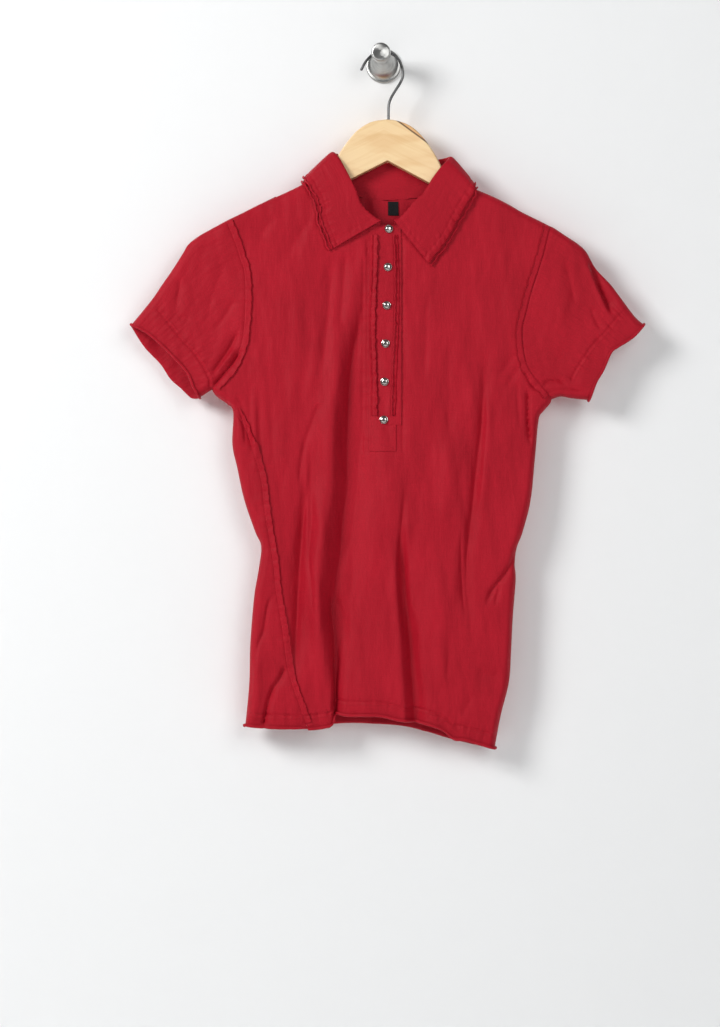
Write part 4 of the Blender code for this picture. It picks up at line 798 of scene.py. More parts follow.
def beside_neck(x, face):
    """Which points of the top edge lie on a shoulder."""
    neck = neck_marks(face)
    return (x <= neck[0, 0]) | (x >= neck[-1, 0])


def top_drop(x, face):
    """The panel's top edge: shoulder, neckline, shoulder."""
    neck = neck_marks(face)
    return np.where(x < neck[0, 0], Line(SHOULDER["left"]).drop_at(x),
                    np.where(x > neck[-1, 0], Line(SHOULDER["right"]).drop_at(x),
                             np.interp(x, *neck.T)))


def sheet(top, bottom, left, right, shares, across=None):
    """Rows of points between four edges, each column running from top to bottom."""
    if across is None:
        over, under = ((edge[:, 0] - edge[0, 0]) / (edge[-1, 0] - edge[0, 0])
                       for edge in (top, bottom))
    else:
        over = under = across
    share = np.asarray(shares)[:, None, None]
    ends = [line.at(shares)[:, None] - (1 - share) * top[end] - share * bottom[end]
            for line, end in ((left, 0), (right, -1))]
    over, under = over[None, :, None], under[None, :, None]
    over = (1 - share) * over + share * under
    return (1 - share) * top + share * bottom + (1 - over) * ends[0] + over * ends[1]


def levels(columns, face):
    """A panel's three levels of points: top edge, armpits, hem."""
    left, right = SIDE["left"][0], SIDE["right"][0]
    at_top, at_armpit, at_hem = columns.T
    middle = np.interp(at_armpit, (left.x, right.x), (left.drop, right.drop))
    return (np.column_stack((at_top, top_drop(at_top, face))),
            np.column_stack((at_armpit, middle)),
            np.column_stack((at_hem, Line(HEM[face]).drop_at(at_hem) - HEM_ROLL)))


def kept_rows(rows):
    """Rows of a panel's inner side: all near its edges and its armpits, and few between."""
    row = np.arange(rows)
    hem = len(YOKE) + len(BODY) - HEM_ROWS
    dense = (row < NECK_ROWS) | (np.abs(row - len(YOKE)) < ARMPIT_ROWS) | (row > hem)
    return row[dense | (row % KEPT_ROW == 0)]


def panel(name, flat, face, on_edge):
    outer, normals = cloth(flat, face, on_edge, np.abs(on_edge) * GAP / 2)
    middle, normals, uv = rolled(outer - normals * WALL / 2, normals, HEM_ROLL, flat * (1, -1))
    wall(name + "_cloth", middle, normals, WALL, uv, [name], kept=kept_rows(len(middle)))


def yoke_rows(top, middle, face):
    return sheet(top, middle, Line(ARMHOLE["left", face]), Line(ARMHOLE["right", face]), YOKE)


def build_front():
    columns = finer(FRONT_COLUMNS, FINE)
    top, middle, hem = levels(columns, FRONT)
    yoke = yoke_rows(top, middle, FRONT)[:-1]
    body = sheet(middle, hem, Line(SIDE_SEAM), Line(SIDE["right"]), BODY)
    yoke[:, 0, 0] += GAP / 2
    yoke[:, -1, 0] -= GAP / 2
    body[1:, 0, 0] += GAP / 2
    flat = np.concatenate((yoke, body))
    on_edge = np.zeros(flat.shape[:2])
    on_edge[0] = beside_neck(columns[:, 0], FRONT)
    on_edge[len(yoke):, -1] = 1
    on_edge[len(yoke), 0] = 1
    panel("front", flat, FRONT, on_edge)


def build_back():
    """The back panel, whose first columns run round the left side edge to the side seam."""
    turns = np.linspace(0, pi / 2, EDGE_STEPS)
    turned_in = EDGE_RADIUS * (1 - np.cos(turns))
    corners = np.array((SHOULDER["left"][-1].x, SIDE["left"][0].x, SIDE["left"][-1].x))
    edge = corners + turned_in[:, None]
    top, middle, hem = levels(np.concatenate((edge, finer(BACK_COLUMNS, COARSE))), BACK)
    yoke = yoke_rows(top, middle, BACK)
    body = sheet(middle, hem, Line(SIDE["left"]), Line(SIDE["right"]), BODY)
    wrapped = WRAP_FINE + EDGE_STEPS - 1
    count = wrapped + EDGE_STEPS

    yoke[-1] = body[0]
    towards = unit(yoke[:, EDGE_STEPS] - yoke[:, 0])
    bunch = WRAP_BUNCH * (1 - 0.98 * YOKE**4)[:, None, None] * np.arange(count)[:, None]
    bunched = yoke[:, :1] + bunch * towards[:, None]
    bunched[0, :, 1] = top_drop(bunched[0, :, 0], BACK)
    upper = np.concatenate((bunched, yoke[:, EDGE_STEPS:]), 1)
    upper[:-1, 0, 0] += GAP / 2
    upper[:-1, -1, 0] -= GAP / 2

    seam = Line(SIDE_SEAM).at(BODY) - (GAP / 2, 0)
    width = seam[:, 0] - body[:, 0, 0]
    turn = np.minimum(EDGE_RADIUS, 0.55 * width)[:, None]
    spacing = np.linspace(1, 0, WRAP_FINE, endpoint=False)
    distances = np.concatenate((turn + (width[:, None] - turn) * spacing,
                                turn * (1 - np.cos(turns[:0:-1]))), 1)
    front = body[:, :1] + (seam - body[:, 0])[:, None] * (
        distances / np.maximum(width, 1e-6)[:, None])[..., None]
    front[-1, :, 1] = Line(HEM[FRONT]).drop_at(front[-1, :, 0]) - HEM_ROLL
    lower = np.concatenate((front, body), 1)[1:]

    flat = np.concatenate((upper, lower))
    face = np.full(flat.shape[:2], BACK)
    face[len(upper):, :wrapped] = FRONT
    on_edge = np.zeros(flat.shape[:2])
    on_edge[0] = beside_neck(flat[0, :, 0], BACK)
    on_edge[len(upper) - 1:, -1] = 1
    on_edge[len(upper) - 1, 0] = 1
    on_edge[len(upper):, wrapped] = TOUCH
    panel("back", flat, face, on_edge)


def build_sleeve(side):
    """A sleeve: rings of points from the armhole to the rolled cuff."""
    top_line, underarm = Line(SLEEVE_TOP[side]), Line(list(reversed(UNDERARM[side])))
    across = finer_shares(YOKE_SHARES, YOKE_LENGTH, SLEEVE_FINE)
    shares = finer_shares(SLEEVE_SHARES, top_line.length, SLEEVE_FINE)
    halves = []
    for face in (FRONT, BACK):
        hole, cuff = Line(ARMHOLE[side, face]), Line(CUFF[side, face])
        halves.append(sheet(hole.at(across), cuff.at(across), top_line, underarm, shares, across))
    ring = np.concatenate((halves[0], halves[1][:, -2:0:-1]), 1)
    ring[0, :, 0] += side_sign(side) * GAP / 2
    face = np.full(ring.shape[:2], BACK)
    face[:, :len(across)] = FRONT
    on_edge = np.zeros(ring.shape[:2])
    on_edge[:, (0, len(across) - 1)] = 1
    outer, normals = cloth(ring, face, on_edge)
    width = np.concatenate((across, across[-2:0:-1])) * YOKE_LENGTH
    uv = np.stack(np.meshgrid(width, -shares * top_line.length), -1)
    middle, normals, uv = rolled(outer - normals * WALL / 2, normals, CUFF_ROLL, uv)
    wall(f"sleeve_{side}_cloth", middle, normals, WALL, uv, ["sleeve_" + side], ring=True)


# --- raw seam edges ------------------------------------------------------------
def raw_strip(node, path, face, width, side, lift, roll, wave, turn, start=0.0, end=1.0):
    """A raw seam allowance on the cloth along a seam; `side` 1 lies right of it, going down."""
    line = Line(path)
    shares = np.linspace(start, end, ceil(line.length * (end - start) / STRIP_ROW))
    along = shares * line.length
    base = line.at(shares)
    across = side * right_of(unit(np.gradient(base, axis=0)))
    seed = 700 * base[0, 0]
    breadth = width * (1 + FRAY * uneven(along, wave, seed))
    rise = lift * (1 + LIFT_CHANGE * uneven(along, 0.7 * wave, seed + 2))
    offsets, heights = [], []
    for step in np.linspace(0, 1, STRIP_STEPS):
        offsets.append(breadth * step)
        heights.append(rise * (step**2 + WELT * np.exp(-((step - WELT_AT) / WELT_HALF)**2)))
    for angle in np.linspace(0, radians(turn), STRIP_ROLL_STEPS + 1)[1:]:
        offsets.append(breadth + roll * sin(angle))
        heights.append(rise + roll * (1 - cos(angle)))
    offsets, heights = np.stack(offsets, 1), np.stack(heights, 1)
    skin, normals = cloth(base[:, None] + offsets[..., None] * across[:, None], face)
    middle = skin + (GAP + THIN / 2 + heights)[..., None] * normals
    wall(node + "_cloth", middle, grid_normals(middle), THIN, grid_uv(middle), [node])


def build_strips():
    for side in ("left", "right"):
        for face, back in ((FRONT, ""), (BACK, "_back")):
            raw_strip(f"armhole_strip_{side}{back}", ARMHOLE[side, face], face,
                      side=-side_sign(side), **ARMHOLE_RAW)
    raw_strip("side_strip_left", SIDE_SEAM, FRONT, **SIDE_RAW)


# --- collar --------------------------------------------------------------------
def collar_section(row):
    """One station's points: up the stand's inside, over the fold, down the fall."""
    side = -1 if row.seam_x < HANGER_APEX.x else 1
    face = FRONT if row.turn <= 90 else BACK
    angle = radians(row.turn)
    outwards = np.array((side * sin(angle), -cos(angle), 0))
    at_side = float(row.turn == 90)

    def on_cloth(x, drop, out):
        point, normal = cloth(np.array((x, drop)), face, at_side)
        return point + out * normal

    seam = on_cloth(row.seam_x, row.seam_drop, -LAYER)
    depth = HALF_DEPTHS[0] + CREST_OUT + row.roll
    crest = np.array((row.fold_x, MID_Y + outwards[1] * depth, -row.fold_drop))
    edge = on_cloth(row.edge_x, row.edge_drop, row.out)
    down = unit(seam - crest)
    inside = crest - outwards * FOLD_HALF + down * FOLD_HALF
    outside = crest + outwards * FOLD_HALF + unit(edge - crest) * FOLD_HALF
    seam = seam + unit(inside - seam) * SEAM_RISE
    section = [seam, (seam + inside) / 2, inside, crest, outside,
               outside + 0.33 * (edge - outside) + outwards * BULGE,
               outside + 0.67 * (edge - outside) + outwards * BULGE, edge]
    reach = UNDER_SHOWS * unit(np.array((row.edge_x - row.fold_x, row.edge_drop - row.fold_drop)))
    tip = on_cloth(row.edge_x + reach[0], row.edge_drop + reach[1], row.out - LAYER - GAP)
    return section, tip


def spread(grid, shares):
    """Each row of a grid, read at new shares of its own length."""
    rows = []
    for row in grid:
        runs = run_along(row)
        rows.append(np.stack([np.interp(shares, runs / runs[-1], axis) for axis in row.T], 1))
    return np.array(rows)


def swapped(*grids):
    return [grid.swapaxes(0, 1) for grid in grids]


def collar_layer(node, sections, shares, edge_wave, edge_height, seed, stitch=None):
    """A layer of the collar: smooth between its stations, with an uneven rolled edge."""
    grid = spread(smooth(smooth(sections, 10).swapaxes(0, 1), 4).swapaxes(0, 1), shares)
    along = run_along(grid[:, -1])
    from_edge = np.linalg.norm(grid - grid[:, -1:], axis=2)
    from_ends = [np.linalg.norm(grid - grid[end], axis=2) for end in (0, -1)]
    near_edge = np.exp(-(from_edge / EDGE_WAVES)**2)
    out = -grid_normals(grid)
    lift = edge_height * np.abs(uneven(along, edge_wave, seed))[:, None] * near_edge
    if stitch:
        down = np.arange(grid.shape[1]) * COLLAR_COLUMN
        rows = [(from_edge, along[:, None]), *((far, down[None]) for far in from_ends)]
        for distance, run in rows:
            pucker = (uneven(run + 0.5 * distance, PUCKER_WAVES[0], seed + 1)
                      * uneven(run, PUCKER_WAVES[1], seed + 4))
            near_stitch = np.exp(-((distance - PUCKER_AT * stitch) / COLLAR_PUCKER_HALF)**2)
            lift = lift + COLLAR_PUCKER * pucker * near_stitch
            lift = lift - COLLAR_GROOVE * np.exp(-((distance - stitch) / COLLAR_GROOVE_HALF)**2)
    grid = grid + out * lift[..., None]
    reach = unit(grid[:, -1] - grid[:, -4]) * (EDGE_FRAY * uneven(along, 0.014, seed + 3))[:, None]
    grid += reach[:, None] * near_edge[..., None]
    middle, out, uv = swapped(*rolled(*swapped(grid - out * LAYER / 2, -grid_normals(grid)),
                                      COLLAR_ROLL, *swapped(grid_uv(grid)), COLLAR_TURN))
    wall(node + "_cloth", middle, out, LAYER, uv, [node])


def build_collar():
    made = [collar_section(row) for row in COLLAR]
    sections, tips = (np.array(part) for part in zip(*made))
    out = -grid_normals(sections)
    collar_layer("collar", sections, COLLAR_SHARES, 0.021, 0.0014, 0.7, stitch=COLLAR_STITCH)
    fall = sections[:, 5:] - (LAYER + GAP) * out[:, 5:]
    start = 0.75 * sections[:, 5] + 0.25 * sections[:, 4] - (LAYER + 2 * GAP) * out[:, 5]
    under = np.concatenate((start[:, None], fall, tips[:, None]), 1)
    collar_layer("collar_under", under, UNDER_SHARES, 0.019, 0.0006, 2.3)


# --- placket, snaps, label -----------------------------------------------------
def strip(name, left, right, drops, out, thickness, columns, node, material="jersey", face=FRONT):
    """A flat strip on a panel, from left to right at each drop, `out` from the cloth's face."""
    x = left[:, None] + (right - left)[:, None] * np.linspace(0, 1, columns)
    flat = np.stack((x, np.repeat(drops[:, None], columns, 1)), -1)
    skin, normals = cloth(flat, face)
    wall(name, skin + (out - thickness / 2) * normals, normals, thickness, flat * (1, -1),
         [node], material)


def build_placket():
    """The band, uneven at its edges, with its box at the end, and the raw strips beside it."""
    drops = np.concatenate((np.linspace(BAND_TOP, BOX_TOP - BOX_STEP, BAND_ROWS),
                            np.linspace(BOX_TOP, BAND_END, BOX_ROWS)))
    left = BAND_LEFT + BAND_FRAY * uneven(drops, 0.02)
    right = np.where(drops < BOX_TOP, BAND_RIGHT + BAND_FRAY * uneven(drops, 0.017, 1), BOX_RIGHT)
    strip("placket_band_cloth", left, right, drops, BAND_OUT, THIN, BAND_COLUMNS, "placket_band")
    drops = np.linspace(STRIP_TOP, STRIP_END, 30)
    swayed = [(LEFT_RAW_X + LEFT_RAW_SWAY * sin(LEFT_RAW_WAVES * drop), drop) for drop in drops]
    raw_strip("placket_edge_left", swayed, FRONT, width=0.0062, side=1, wave=0.013, **PLACKET_RAW)
    bowed = [(RIGHT_RAW_X + RIGHT_RAW_BOW * sin(pi * (drop - STRIP_TOP) / RIGHT_RAW_SPAN)
              - RIGHT_RAW_LEAN * max(drop - RIGHT_RAW_LEAN_TOP, 0), drop) for drop in drops]
    raw_strip("placket_edge_right", bowed, FRONT, width=0.0045, side=-1, wave=0.012, **PLACKET_RAW)


def lathe(name, profile, sides, material, node, place):
    """A closed body of rings about an axis along Y; place maps its points."""
    angles = np.linspace(0, 2 * pi, sides, endpoint=False)
    rings = [np.column_stack((ring.radius * np.cos(angles), np.full(sides, ring.y),
                              ring.radius * np.sin(angles))) for ring in profile]
    tube(name, place(np.concatenate(rings)), sides, material, [node], 35)


def build_snaps():
    """Domed caps, each in a thin raised rim that presses into the band."""
    for i in range(SNAP_COUNT):
        at = np.array((SNAP_FIRST.x + i * SNAP_STEP.x, SNAP_FIRST.drop + i * SNAP_STEP.drop))
        seat, normal = cloth(at, FRONT)
        seat += (BAND_OUT + GAP) * normal
        turn = np.array(Vector((0, 1, 0)).rotation_difference(Vector(normal)).to_matrix())
        lathe(f"snap_{i + 1}_cap", SNAP_PROFILE, SNAP_SIDES, "chrome", f"snap_{i + 1}",
              lambda points: seat + points @ turn.T)


def build_label():
    """The label hangs from the neck seam against the back panel's inside."""
    drops = np.linspace(LABEL_TOP, LABEL_END, LABEL_ROWS)
    strip("neck_label_tape", np.full(LABEL_ROWS, LABEL_LEFT), np.full(LABEL_ROWS, LABEL_RIGHT),
          drops, -(WALL + GAP), TAPE, LABEL_COLUMNS, "neck_label", "black_tape", BACK)


# --- stitches ------------------------------------------------------------------
def stitch_row(line, face, inset):
    """Threads of one row of stitching beside a line: their middles, headings and outs."""
    count = int(line.length / STITCH_STEP)
    shares = (np.arange(count) + 0.5) / count
    base, ahead = line.at(shares), line.at(np.minimum(shares + 0.002, 1))
    heading = unit(ahead - line.at(shares - 0.002))
    place, normal = cloth(base + inset * right_of(heading), face)
    along = np.column_stack((heading[:, 0], np.zeros(count), -heading[:, 1]))
    return place + (STITCH_HALF * STITCH_OUT) * normal, along, normal


def build_stitches():
    """Two rows along the hem, on both faces, and two round each cuff's front."""
    rows = [stitch_row(Line(moved(HEM[face], 0, -depth)), face, 0)
            for depth in (HEM_STITCH, HEM_STITCH - HEM_STITCH_STEP) for face in (FRONT, BACK)]
    rows += [stitch_row(Line(path), FRONT, inset)
             for path in CUFF_STITCH.values() for inset in (0, CUFF_STITCH_STEP)]
    place, along, normal = (np.concatenate(part) for part in zip(*rows))
    along = unit(along - (along * normal).sum(1, keepdims=True) * normal)
    across = np.cross(along, normal)
    sides, rings = STITCH_SIDES, []
    for length, radius in STITCH_RINGS:
        for angle in 2 * pi * np.arange(sides) / sides:
            rings.append(place + STITCH_LENGTH / 2 * length * along
                         + STITCH_HALF * radius * (cos(angle) * across + sin(angle) * normal))
    tips = [place + STITCH_LENGTH / 2 * end * along for end in (-1, 1)]
    points = np.stack([*rings, *tips], 1)
    count = points.shape[1]
    shape = tube_sides(3, sides)
    for side in range(sides):
        beside = (side + 1) % sides
        shape += [(beside, side, count - 2), (2 * sides + side, 2 * sides + beside, count - 1)]
    faces = [[corner + i * count for corner in face] for i in range(len(points)) for face in shape]
    finish("stitches", points.reshape(-1, 3), faces, np.zeros((len(points) * count, 2)),
           "jersey", [])


# --- hanger, wire and wall hook ------------------------------------------------
def hanger_arm(side):
    """The arm's upper edge, just under the shoulder's cloth, from the neck outwards."""
    line = Line([*SHOULDER[side], *SLEEVE_TOP[side][1:]], 5)
    xs = np.linspace(*HANGER_ARM[side], ARM_STEPS + 1)
    drops = line.drop_at(xs)
    _, inward = OUTLINE.inside(np.column_stack((xs, drops + 1e-4)))
    under = np.column_stack((xs, drops)) + HANGER_UNDER * inward
    return [Rim(x, drop, EDGE_SOFT) for x, drop in under]


def underside(side, x):
    return Rim(x, HANGER_APEX.drop + UNDERSIDE_SLOPE[side] * abs(x - HANGER_APEX.x), UNDER_SOFT)


def hanger_outline():
    """The hanger's outline, clockwise as seen from the front, in its smooth stretches."""
    arms = {side: hanger_arm(side) for side in SHOULDER}
    ends = {side: [arms[side][-1], *HANGER_END[side]] for side in SHOULDER}
    top = smooth([*reversed(arms["left"]), *HANGER_HUMP, *arms["right"]], 4)
    right = smooth([*ends["right"], underside("right", UNDERSIDE_END["right"])], 4)[1:]
    left = smooth([underside("left", UNDERSIDE_END["left"]), *reversed(ends["left"])], 4)[:-1]
    under = [underside("right", 0.10), Rim(*HANGER_APEX, UNDER_SOFT), underside("left", -0.10)]
    return np.concatenate((top, right, under, left))


def build_hanger():
    """Rings of the outline, drawn in towards both faces so that its edges are round."""
    outline = hanger_outline()
    count = len(outline)
    flat, soft = outline[:, :2], np.clip(outline[:, 2], 0.15, 1)
    edge = unit(np.roll(flat, -1, 0) - flat)
    before = np.roll(edge, 1, 0)
    across = unit(np.column_stack((-before[:, 1] - edge[:, 1], before[:, 0] + edge[:, 0])))
    straight = across[:, 0] * -edge[:, 1] + across[:, 1] * edge[:, 0]
    inward = across / np.maximum(straight, 0.5)[:, None]
    rings = []
    for angle in np.radians(np.linspace(-90, 90, HANGER_RINGS)):
        drawn = flat + inward * (soft * HANGER_ROUND * (1 - cos(angle)))[:, None]
        depth = np.full(count, MID_Y + HANGER_HALF * sin(angle))
        rings.append(np.column_stack((drawn[:, 0], depth, -drawn[:, 1])))
    tube("hanger_wood", np.concatenate(rings), count, "pine", ["hanger"], 50)


def build_wire():
    """A round wire along its route, with a rounded tip."""
    route = smooth(WIRE_ROUTE, 8)
    place = np.column_stack((route[:, 0], np.full(len(route), MID_Y), -route[:, 1]))
    along = unit(np.gradient(place, axis=0))
    reach, narrowing = np.transpose(WIRE_TIP)
    tip = place[-1] + np.outer(reach, along[-1]) * WIRE_RADIUS
    place = np.concatenate((place, tip))
    along = np.concatenate((along, np.repeat(along[-1:], len(tip), 0)))
    radius = np.full(len(place), WIRE_RADIUS)
    radius[-len(tip):] *= narrowing
    across = np.cross(along, (0, 1, 0))
    angles = np.linspace(0, 2 * pi, WIRE_SIDES, endpoint=False)[:, None, None]
    rings = place + radius[:, None] * (np.cos(angles) * across + np.sin(angles) * (0, 1, 0))
    tube("hanger_wire", rings.swapaxes(0, 1).reshape(-1, 3), WIRE_SIDES, "wire", ["hanger_hook"],
         50)


def build_wall_hook():
    lathe("hook_plate_turned", PLATE_FINE, TURNED_SIDES, "steel", "hook_plate",
          lambda points: points)
    lean = np.array((KNOB_SHIFT.x, 0, -KNOB_SHIFT.drop)) / KNOB_Y
    knob = [Turned(*row) for row in smooth(KNOB_PROFILE, 4)]
    lathe("hook_knob_turned", knob, TURNED_SIDES, "steel", "hook_knob",
          lambda points: points + points[:, 1:2] * lean)


# --- materials -----------------------------------------------------------------
class Shader:
    """A material's nodes, added one by one and joined by name."""

    def __init__(self, name, **values):
        self.material = bpy.data.materials.new(name)
        self.material.use_nodes = True
        self.nodes, self.links = self.material.node_tree.nodes, self.material.node_tree.links
        self.surface = self.nodes["Principled BSDF"]
        self.set(self.surface, values)

    def set(self, node, values):
        for name, value in values.items():
            socket = node.inputs[name.replace("_", " ") if isinstance(name, str) else name]
            if isinstance(value, bpy.types.NodeSocket):
                self.links.new(value, socket)
            else:
                socket.default_value = value

    def add(self, kind, inputs=(), **settings):
        node = self.nodes.new("ShaderNode" + kind)
        for name, value in settings.items():
            setattr(node, name, value)
        self.set(node, dict(inputs))
        return node

    def noise(self, where, scale, detail=2.0, roughness=0.5):
        return self.add("TexNoise", {"Vector": where, "Scale": scale, "Detail": detail,
                                     "Roughness": roughness}).outputs["Fac"]

    def grain(self, where, scale, detail, roughness, turn=(0, 0, 0)):
        """Noise stretched along the axes by its three scales."""
        stretched = self.add("Mapping", {"Vector": where, "Scale": scale, "Rotation": turn})
        return self.noise(stretched.outputs["Vector"], 1.0, detail, roughness)

    def waves(self, where, scale, axis, distortion, **inputs):
        inputs = {"Vector": where, "Scale": scale, "Distortion": distortion, **inputs}
        return self.add("TexWave", inputs, bands_direction=axis).outputs["Fac"]

    def spread(self, value, **ends):
        """A value spread over the range between the given ends."""
        return self.add("MapRange", {"Value": value, **ends}).outputs["Result"]

    def ramp(self, value, *stops):
        node = self.add("ValToRGB", {"Fac": value})
        while len(node.color_ramp.elements) < len(stops):
            node.color_ramp.elements.new(0.5)
        for element, (position, colour) in zip(node.color_ramp.elements, stops):
            element.position = position
            element.color = (*colour, 1)
        return node.outputs["Color"]

    def mix(self, share, first, second, blend="MIX"):
        node = self.add("Mix", data_type="RGBA", blend_type=blend)
        self.set(node, {0: share, 6: first, 7: second})
        return node.outputs[2]

    def maths(self, operation, first, second=0.5):
        return self.add("Math", {0: first, 1: second}, operation=operation).outputs[0]

    def bump(self, height, strength, distance, below=None):
        inputs = {"Height": height, "Strength": strength, "Distance": distance}
        if below is not None:
            inputs["Normal"] = below
        return self.add("Bump", inputs).outputs["Normal"]

    def finish(self, colour, normal):
        self.set(self.surface, {"Base_Color": colour, "Normal": normal})
        return self.material


COURSE, WALE = 0.0011, 0.0009      # the knit's spacing, down and across
FULL_WAVE = pi / 10                # a wave texture's turn for each unit of scale


def jersey():
    """Fine knit: courses across the cloth and wales down it, faded by wear into soft mottles."""
    made = Shader("jersey_knit", Roughness=0.60, Specular_IOR_Level=0.16, Sheen_Weight=0.04,
                  Sheen_Roughness=0.5, Sheen_Tint=(1.0, 0.25, 0.32, 1))
    where = made.add("UVMap", uv_map="cloth").outputs["UV"]
    body = made.add("TexCoord").outputs["Object"]
    mottle = made.add("Mapping", {"Vector": body, "Scale": (1, 1, 0.6)}).outputs["Vector"]
    mottle = made.noise(mottle, 26.0, 3.0, 0.55)
    streaks = made.grain(where, (60, 900, 1), 2.0, 0.5)
    colour = made.ramp(mottle, (0.30, (0.365, 0.0030, 0.0140)), (0.70, (0.425, 0.0048, 0.0180)))
    shade = made.ramp(streaks, (0.25, (0.90, 0.88, 0.88)), (0.75, (1.0, 1.0, 1.0)))
    courses = made.waves(where, FULL_WAVE / COURSE, "Y", 1.2, Detail=1.0, Detail_Scale=8.0)
    wales = made.waves(where, FULL_WAVE / WALE, "X", 0.8, Detail=1.0)
    knit = made.maths("MULTIPLY", courses, wales)
    slub = made.grain(where, (120, 700, 1), 3.0, 0.6)
    wrinkles = made.grain(where, (110, 16, 1), 3.0, 0.55)
    lower = made.bump(slub, 0.45, 0.0004, made.bump(wrinkles, 0.5, 0.0022))
    return made.finish(made.mix(1.0, colour, shade, "MULTIPLY"),
                       made.bump(knit, 0.25, 0.0002, lower))


def black_tape():
    """A satin tape with its weave showing."""
    made = Shader("label_tape", Roughness=0.6, Specular_IOR_Level=0.12)
    where = made.add("UVMap", uv_map="cloth").outputs["UV"]
    weave = made.waves(where, 900.0, "Y", 0.5)
    colour = made.ramp(made.noise(where, 400.0), (0.3, (0.006, 0.006, 0.007)),
                       (0.7, (0.014, 0.013, 0.014)))
    return made.finish(colour, made.bump(weave, 0.3, 0.0002))


def metal(name, dark, light, roughness, turned, **values):
    """Turned or drawn metal: fine scratches round its axis, or along it."""
    made = Shader(name, Metallic=1.0, **values)
    scratches = made.grain(made.add("TexCoord").outputs["Object"], turned, 3.0, 0.6)
    rough = made.spread(scratches, To_Min=roughness - 0.05, To_Max=roughness + 0.07)
    made.set(made.surface, {"Roughness": rough})
    colour = made.ramp(scratches, (0.3, dark), (0.7, light))
    made.finish(colour, made.bump(scratches, 0.08, 0.0002))
    return made


def steel():
    """Turned on a lathe: the light gathers in wedges, because the scratches run round."""
    made = metal("turned_steel", (0.36, 0.36, 0.35), (0.54, 0.54, 0.52), 0.32, (60, 500, 60),
                 Anisotropic=0.92)
    tangent = made.add("Tangent", direction_type="RADIAL", axis="Y").outputs["Tangent"]
    made.set(made.surface, {"Tangent": tangent})
    return made.material


ARM_SLOPE = 0.47         # the grain follows the hanger's arms down
FLAW_SLOPE, FLAW_LEVEL, FLAW_START = 0.734, -0.0552, 0.012


def pine():
    """Varnished softwood: grain along the arms, warmer where it darkens, one dark flaw, and painted
    shade on the faces that look down.
    """
    made = Shader("pine_wood", Roughness=0.42, Specular_IOR_Level=0.4, Coat_Weight=0.25,
                  Coat_Roughness=0.25)
    body = made.add("TexCoord").outputs["Object"]
    x, y, z = made.add("SeparateXYZ", {"Vector": body}).outputs
    out = made.maths("ABSOLUTE", x)
    level = made.maths("ADD", z, made.maths("MULTIPLY", out, ARM_SLOPE))
    along = made.add("CombineXYZ", {"X": out, "Y": y, "Z": level}).outputs["Vector"]
    tone = made.grain(body, (8, 12, 14), 3.0, 0.5)
    fibres = made.grain(along, (14, 500, 900), 2.0, 0.6)
    rings = made.grain(along, (9, 60, 210), 3.0, 0.55)
    streak = made.grain(body, (16, 20, 60), 2.0, 0.5, (0, radians(28), 0))
    colour = made.ramp(tone, (0.25, (0.840, 0.580, 0.290)), (0.75, (0.920, 0.690, 0.400)))
    rings = made.ramp(rings, (0.35, (0.70, 0.42, 0.18)), (0.55, (0.92, 0.70, 0.42)))
    streak = made.ramp(streak, (0.36, (0.66, 0.32, 0.10)), (0.50, (0.92, 0.69, 0.40)))
    colour = made.mix(0.25, made.mix(0.30, colour, rings), streak)
    # Painted shade: faces that look down are mixed towards dark brown (0.42, 0.17, 0.07), standing
    # in for the shade under the arms' lower edges
    normal = made.add("NewGeometry").outputs["Normal"]
    facing_up = made.add("SeparateXYZ", {"Vector": normal}).outputs["Z"]
    below = made.spread(facing_up, From_Min=-0.15, From_Max=-0.75, To_Max=0.7)
    colour = made.mix(below, colour, (0.42, 0.17, 0.07, 1))
    colour = made.mix(made.maths("MULTIPLY", fibres, 0.12), colour, (0.55, 0.30, 0.11, 1))
    right = made.maths("GREATER_THAN", x, FLAW_START)
    rise = made.maths("MULTIPLY", x, FLAW_SLOPE)
    off = made.maths("SUBTRACT", made.maths("ADD", z, rise), FLAW_LEVEL)
    beyond = made.maths("MULTIPLY", made.spread(off, From_Min=-0.0002, From_Max=0.0004), right)
    colour = made.mix(made.maths("MULTIPLY", beyond, 0.55), colour, (0.72, 0.33, 0.10, 1))
    line = made.spread(made.maths("ABSOLUTE", off), From_Min=0.0014, From_Max=0.0005)
    line = made.maths("MULTIPLY", line, right)
    colour = made.mix(made.maths("MULTIPLY", line, 0.95), colour, (0.10, 0.035, 0.015, 1))
    return made.finish(colour, made.bump(fibres, 0.12, 0.0003))


CHROME = ("snap_chrome", (0.34, 0.33, 0.31), (0.56, 0.54, 0.51), 0.16, (300, 300, 300))
WIRE_STEEL = ("wire_steel", (0.07, 0.07, 0.07), (0.15, 0.15, 0.15), 0.34, (200, 200, 60))
MATERIALS = {
    "jersey": jersey(),
    "black_tape": black_tape(),
    "chrome": metal(*CHROME).material,
    "steel": steel(),
    "wire": metal(*WIRE_STEEL).material,
    "pine": pine(),
}


# --- setting -------------------------------------------------------------------
def link(name, data):
    made = bpy.data.objects.new(name, data)
    bpy.context.scene.collection.objects.link(made)
    return made


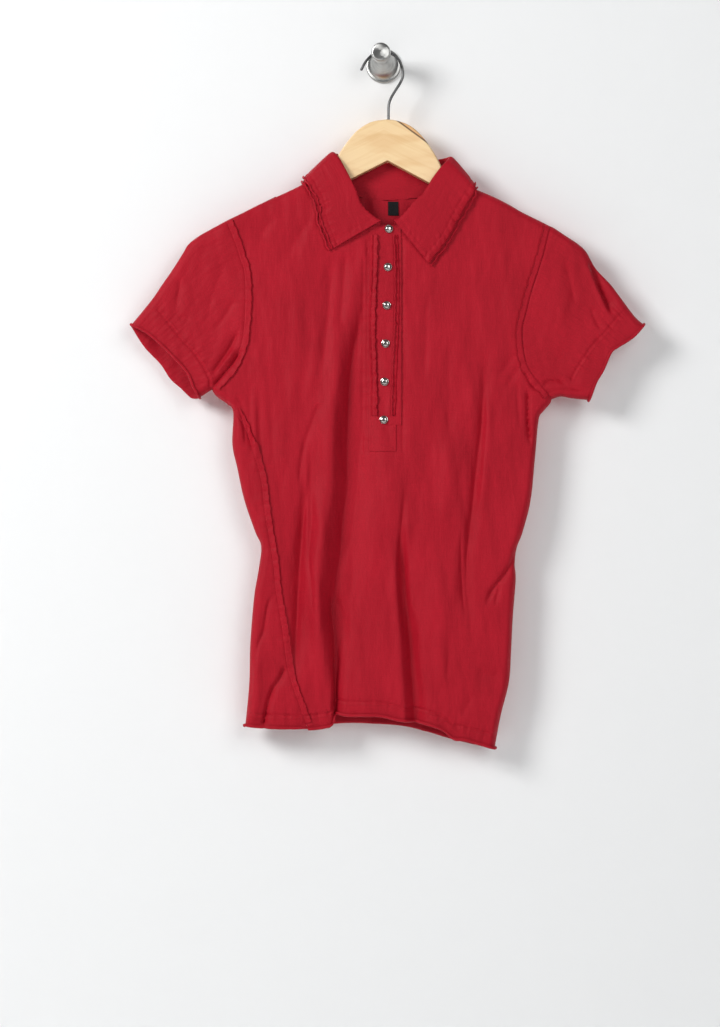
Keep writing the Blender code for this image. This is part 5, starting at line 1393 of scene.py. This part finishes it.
def build_stage():
    """A pale wall that curves into a pale floor; light and view pass it from behind."""
    profile = [(WALL_PLANE, STAGE_TOP), (WALL_PLANE, FLOOR + SWEEP)]
    profile += [(WALL_PLANE - SWEEP * (1 - cos(angle)), FLOOR + SWEEP * (1 - sin(angle)))
                for angle in np.linspace(0, pi / 2, 16)[1:]]
    profile.append((WALL_PLANE - STAGE_DEPTH, FLOOR))
    vertices = [(x, y, z) for x in (-STAGE_HALF, STAGE_HALF) for y, z in profile]
    count = len(profile)
    faces = [(i, i + 1, i + count + 1, i + count) for i in range(count - 1)]
    mesh = bpy.data.meshes.new("stage")
    mesh.from_pydata(vertices, [], faces)
    mesh.shade_smooth()
    made = Shader("stage_paper", Base_Color=(*STAGE_COLOUR, 1), Roughness=0.9,
                  Specular_IOR_Level=0.1)
    behind = made.add("NewGeometry").outputs["Backfacing"]
    clear = made.add("BsdfTransparent").outputs["BSDF"]
    blend = made.add("MixShader", {0: behind, 1: made.surface.outputs["BSDF"], 2: clear})
    made.links.new(blend.outputs["Shader"], made.nodes["Material Output"].inputs["Surface"])
    mesh.materials.append(made.material)
    stage = link("stage", mesh)
    stage.visible_shadow = False


def area_light(name, place, size, power):
    light = bpy.data.lights.new(name, "AREA")
    light.shape = "DISK"
    light.size = size
    light.energy = power
    lamp = link(name, light)
    lamp.location = place
    lamp.rotation_euler = (Vector(AIM) - Vector(place)).to_track_quat("-Z", "Y").to_euler()


def build_setting():
    build_stage()
    for light in LIGHTS:
        area_light(*light)
    world = bpy.data.worlds.new("studio")
    world.use_nodes = True
    background = world.node_tree.nodes["Background"].inputs
    background["Color"].default_value = (*WORLD_COLOUR, 1)
    background["Strength"].default_value = WORLD_STRENGTH
    bpy.context.scene.world = world
    bpy.context.scene.view_settings.view_transform = "Standard"
    lens = bpy.data.cameras.new("camera")
    lens.lens = CAMERA_LENS
    lens.sensor_width = CAMERA_SENSOR
    camera = link("camera", lens)
    camera.location = CAMERA_PLACE
    camera.rotation_euler = (pi / 2, 0, 0)
    bpy.context.scene.camera = camera


build_front()
build_back()
for side in ("left", "right"):
    build_sleeve(side)
build_strips()
build_collar()
build_placket()
build_snaps()
build_label()
build_stitches()
build_hanger()
build_wire()
build_wall_hook()
build_setting()
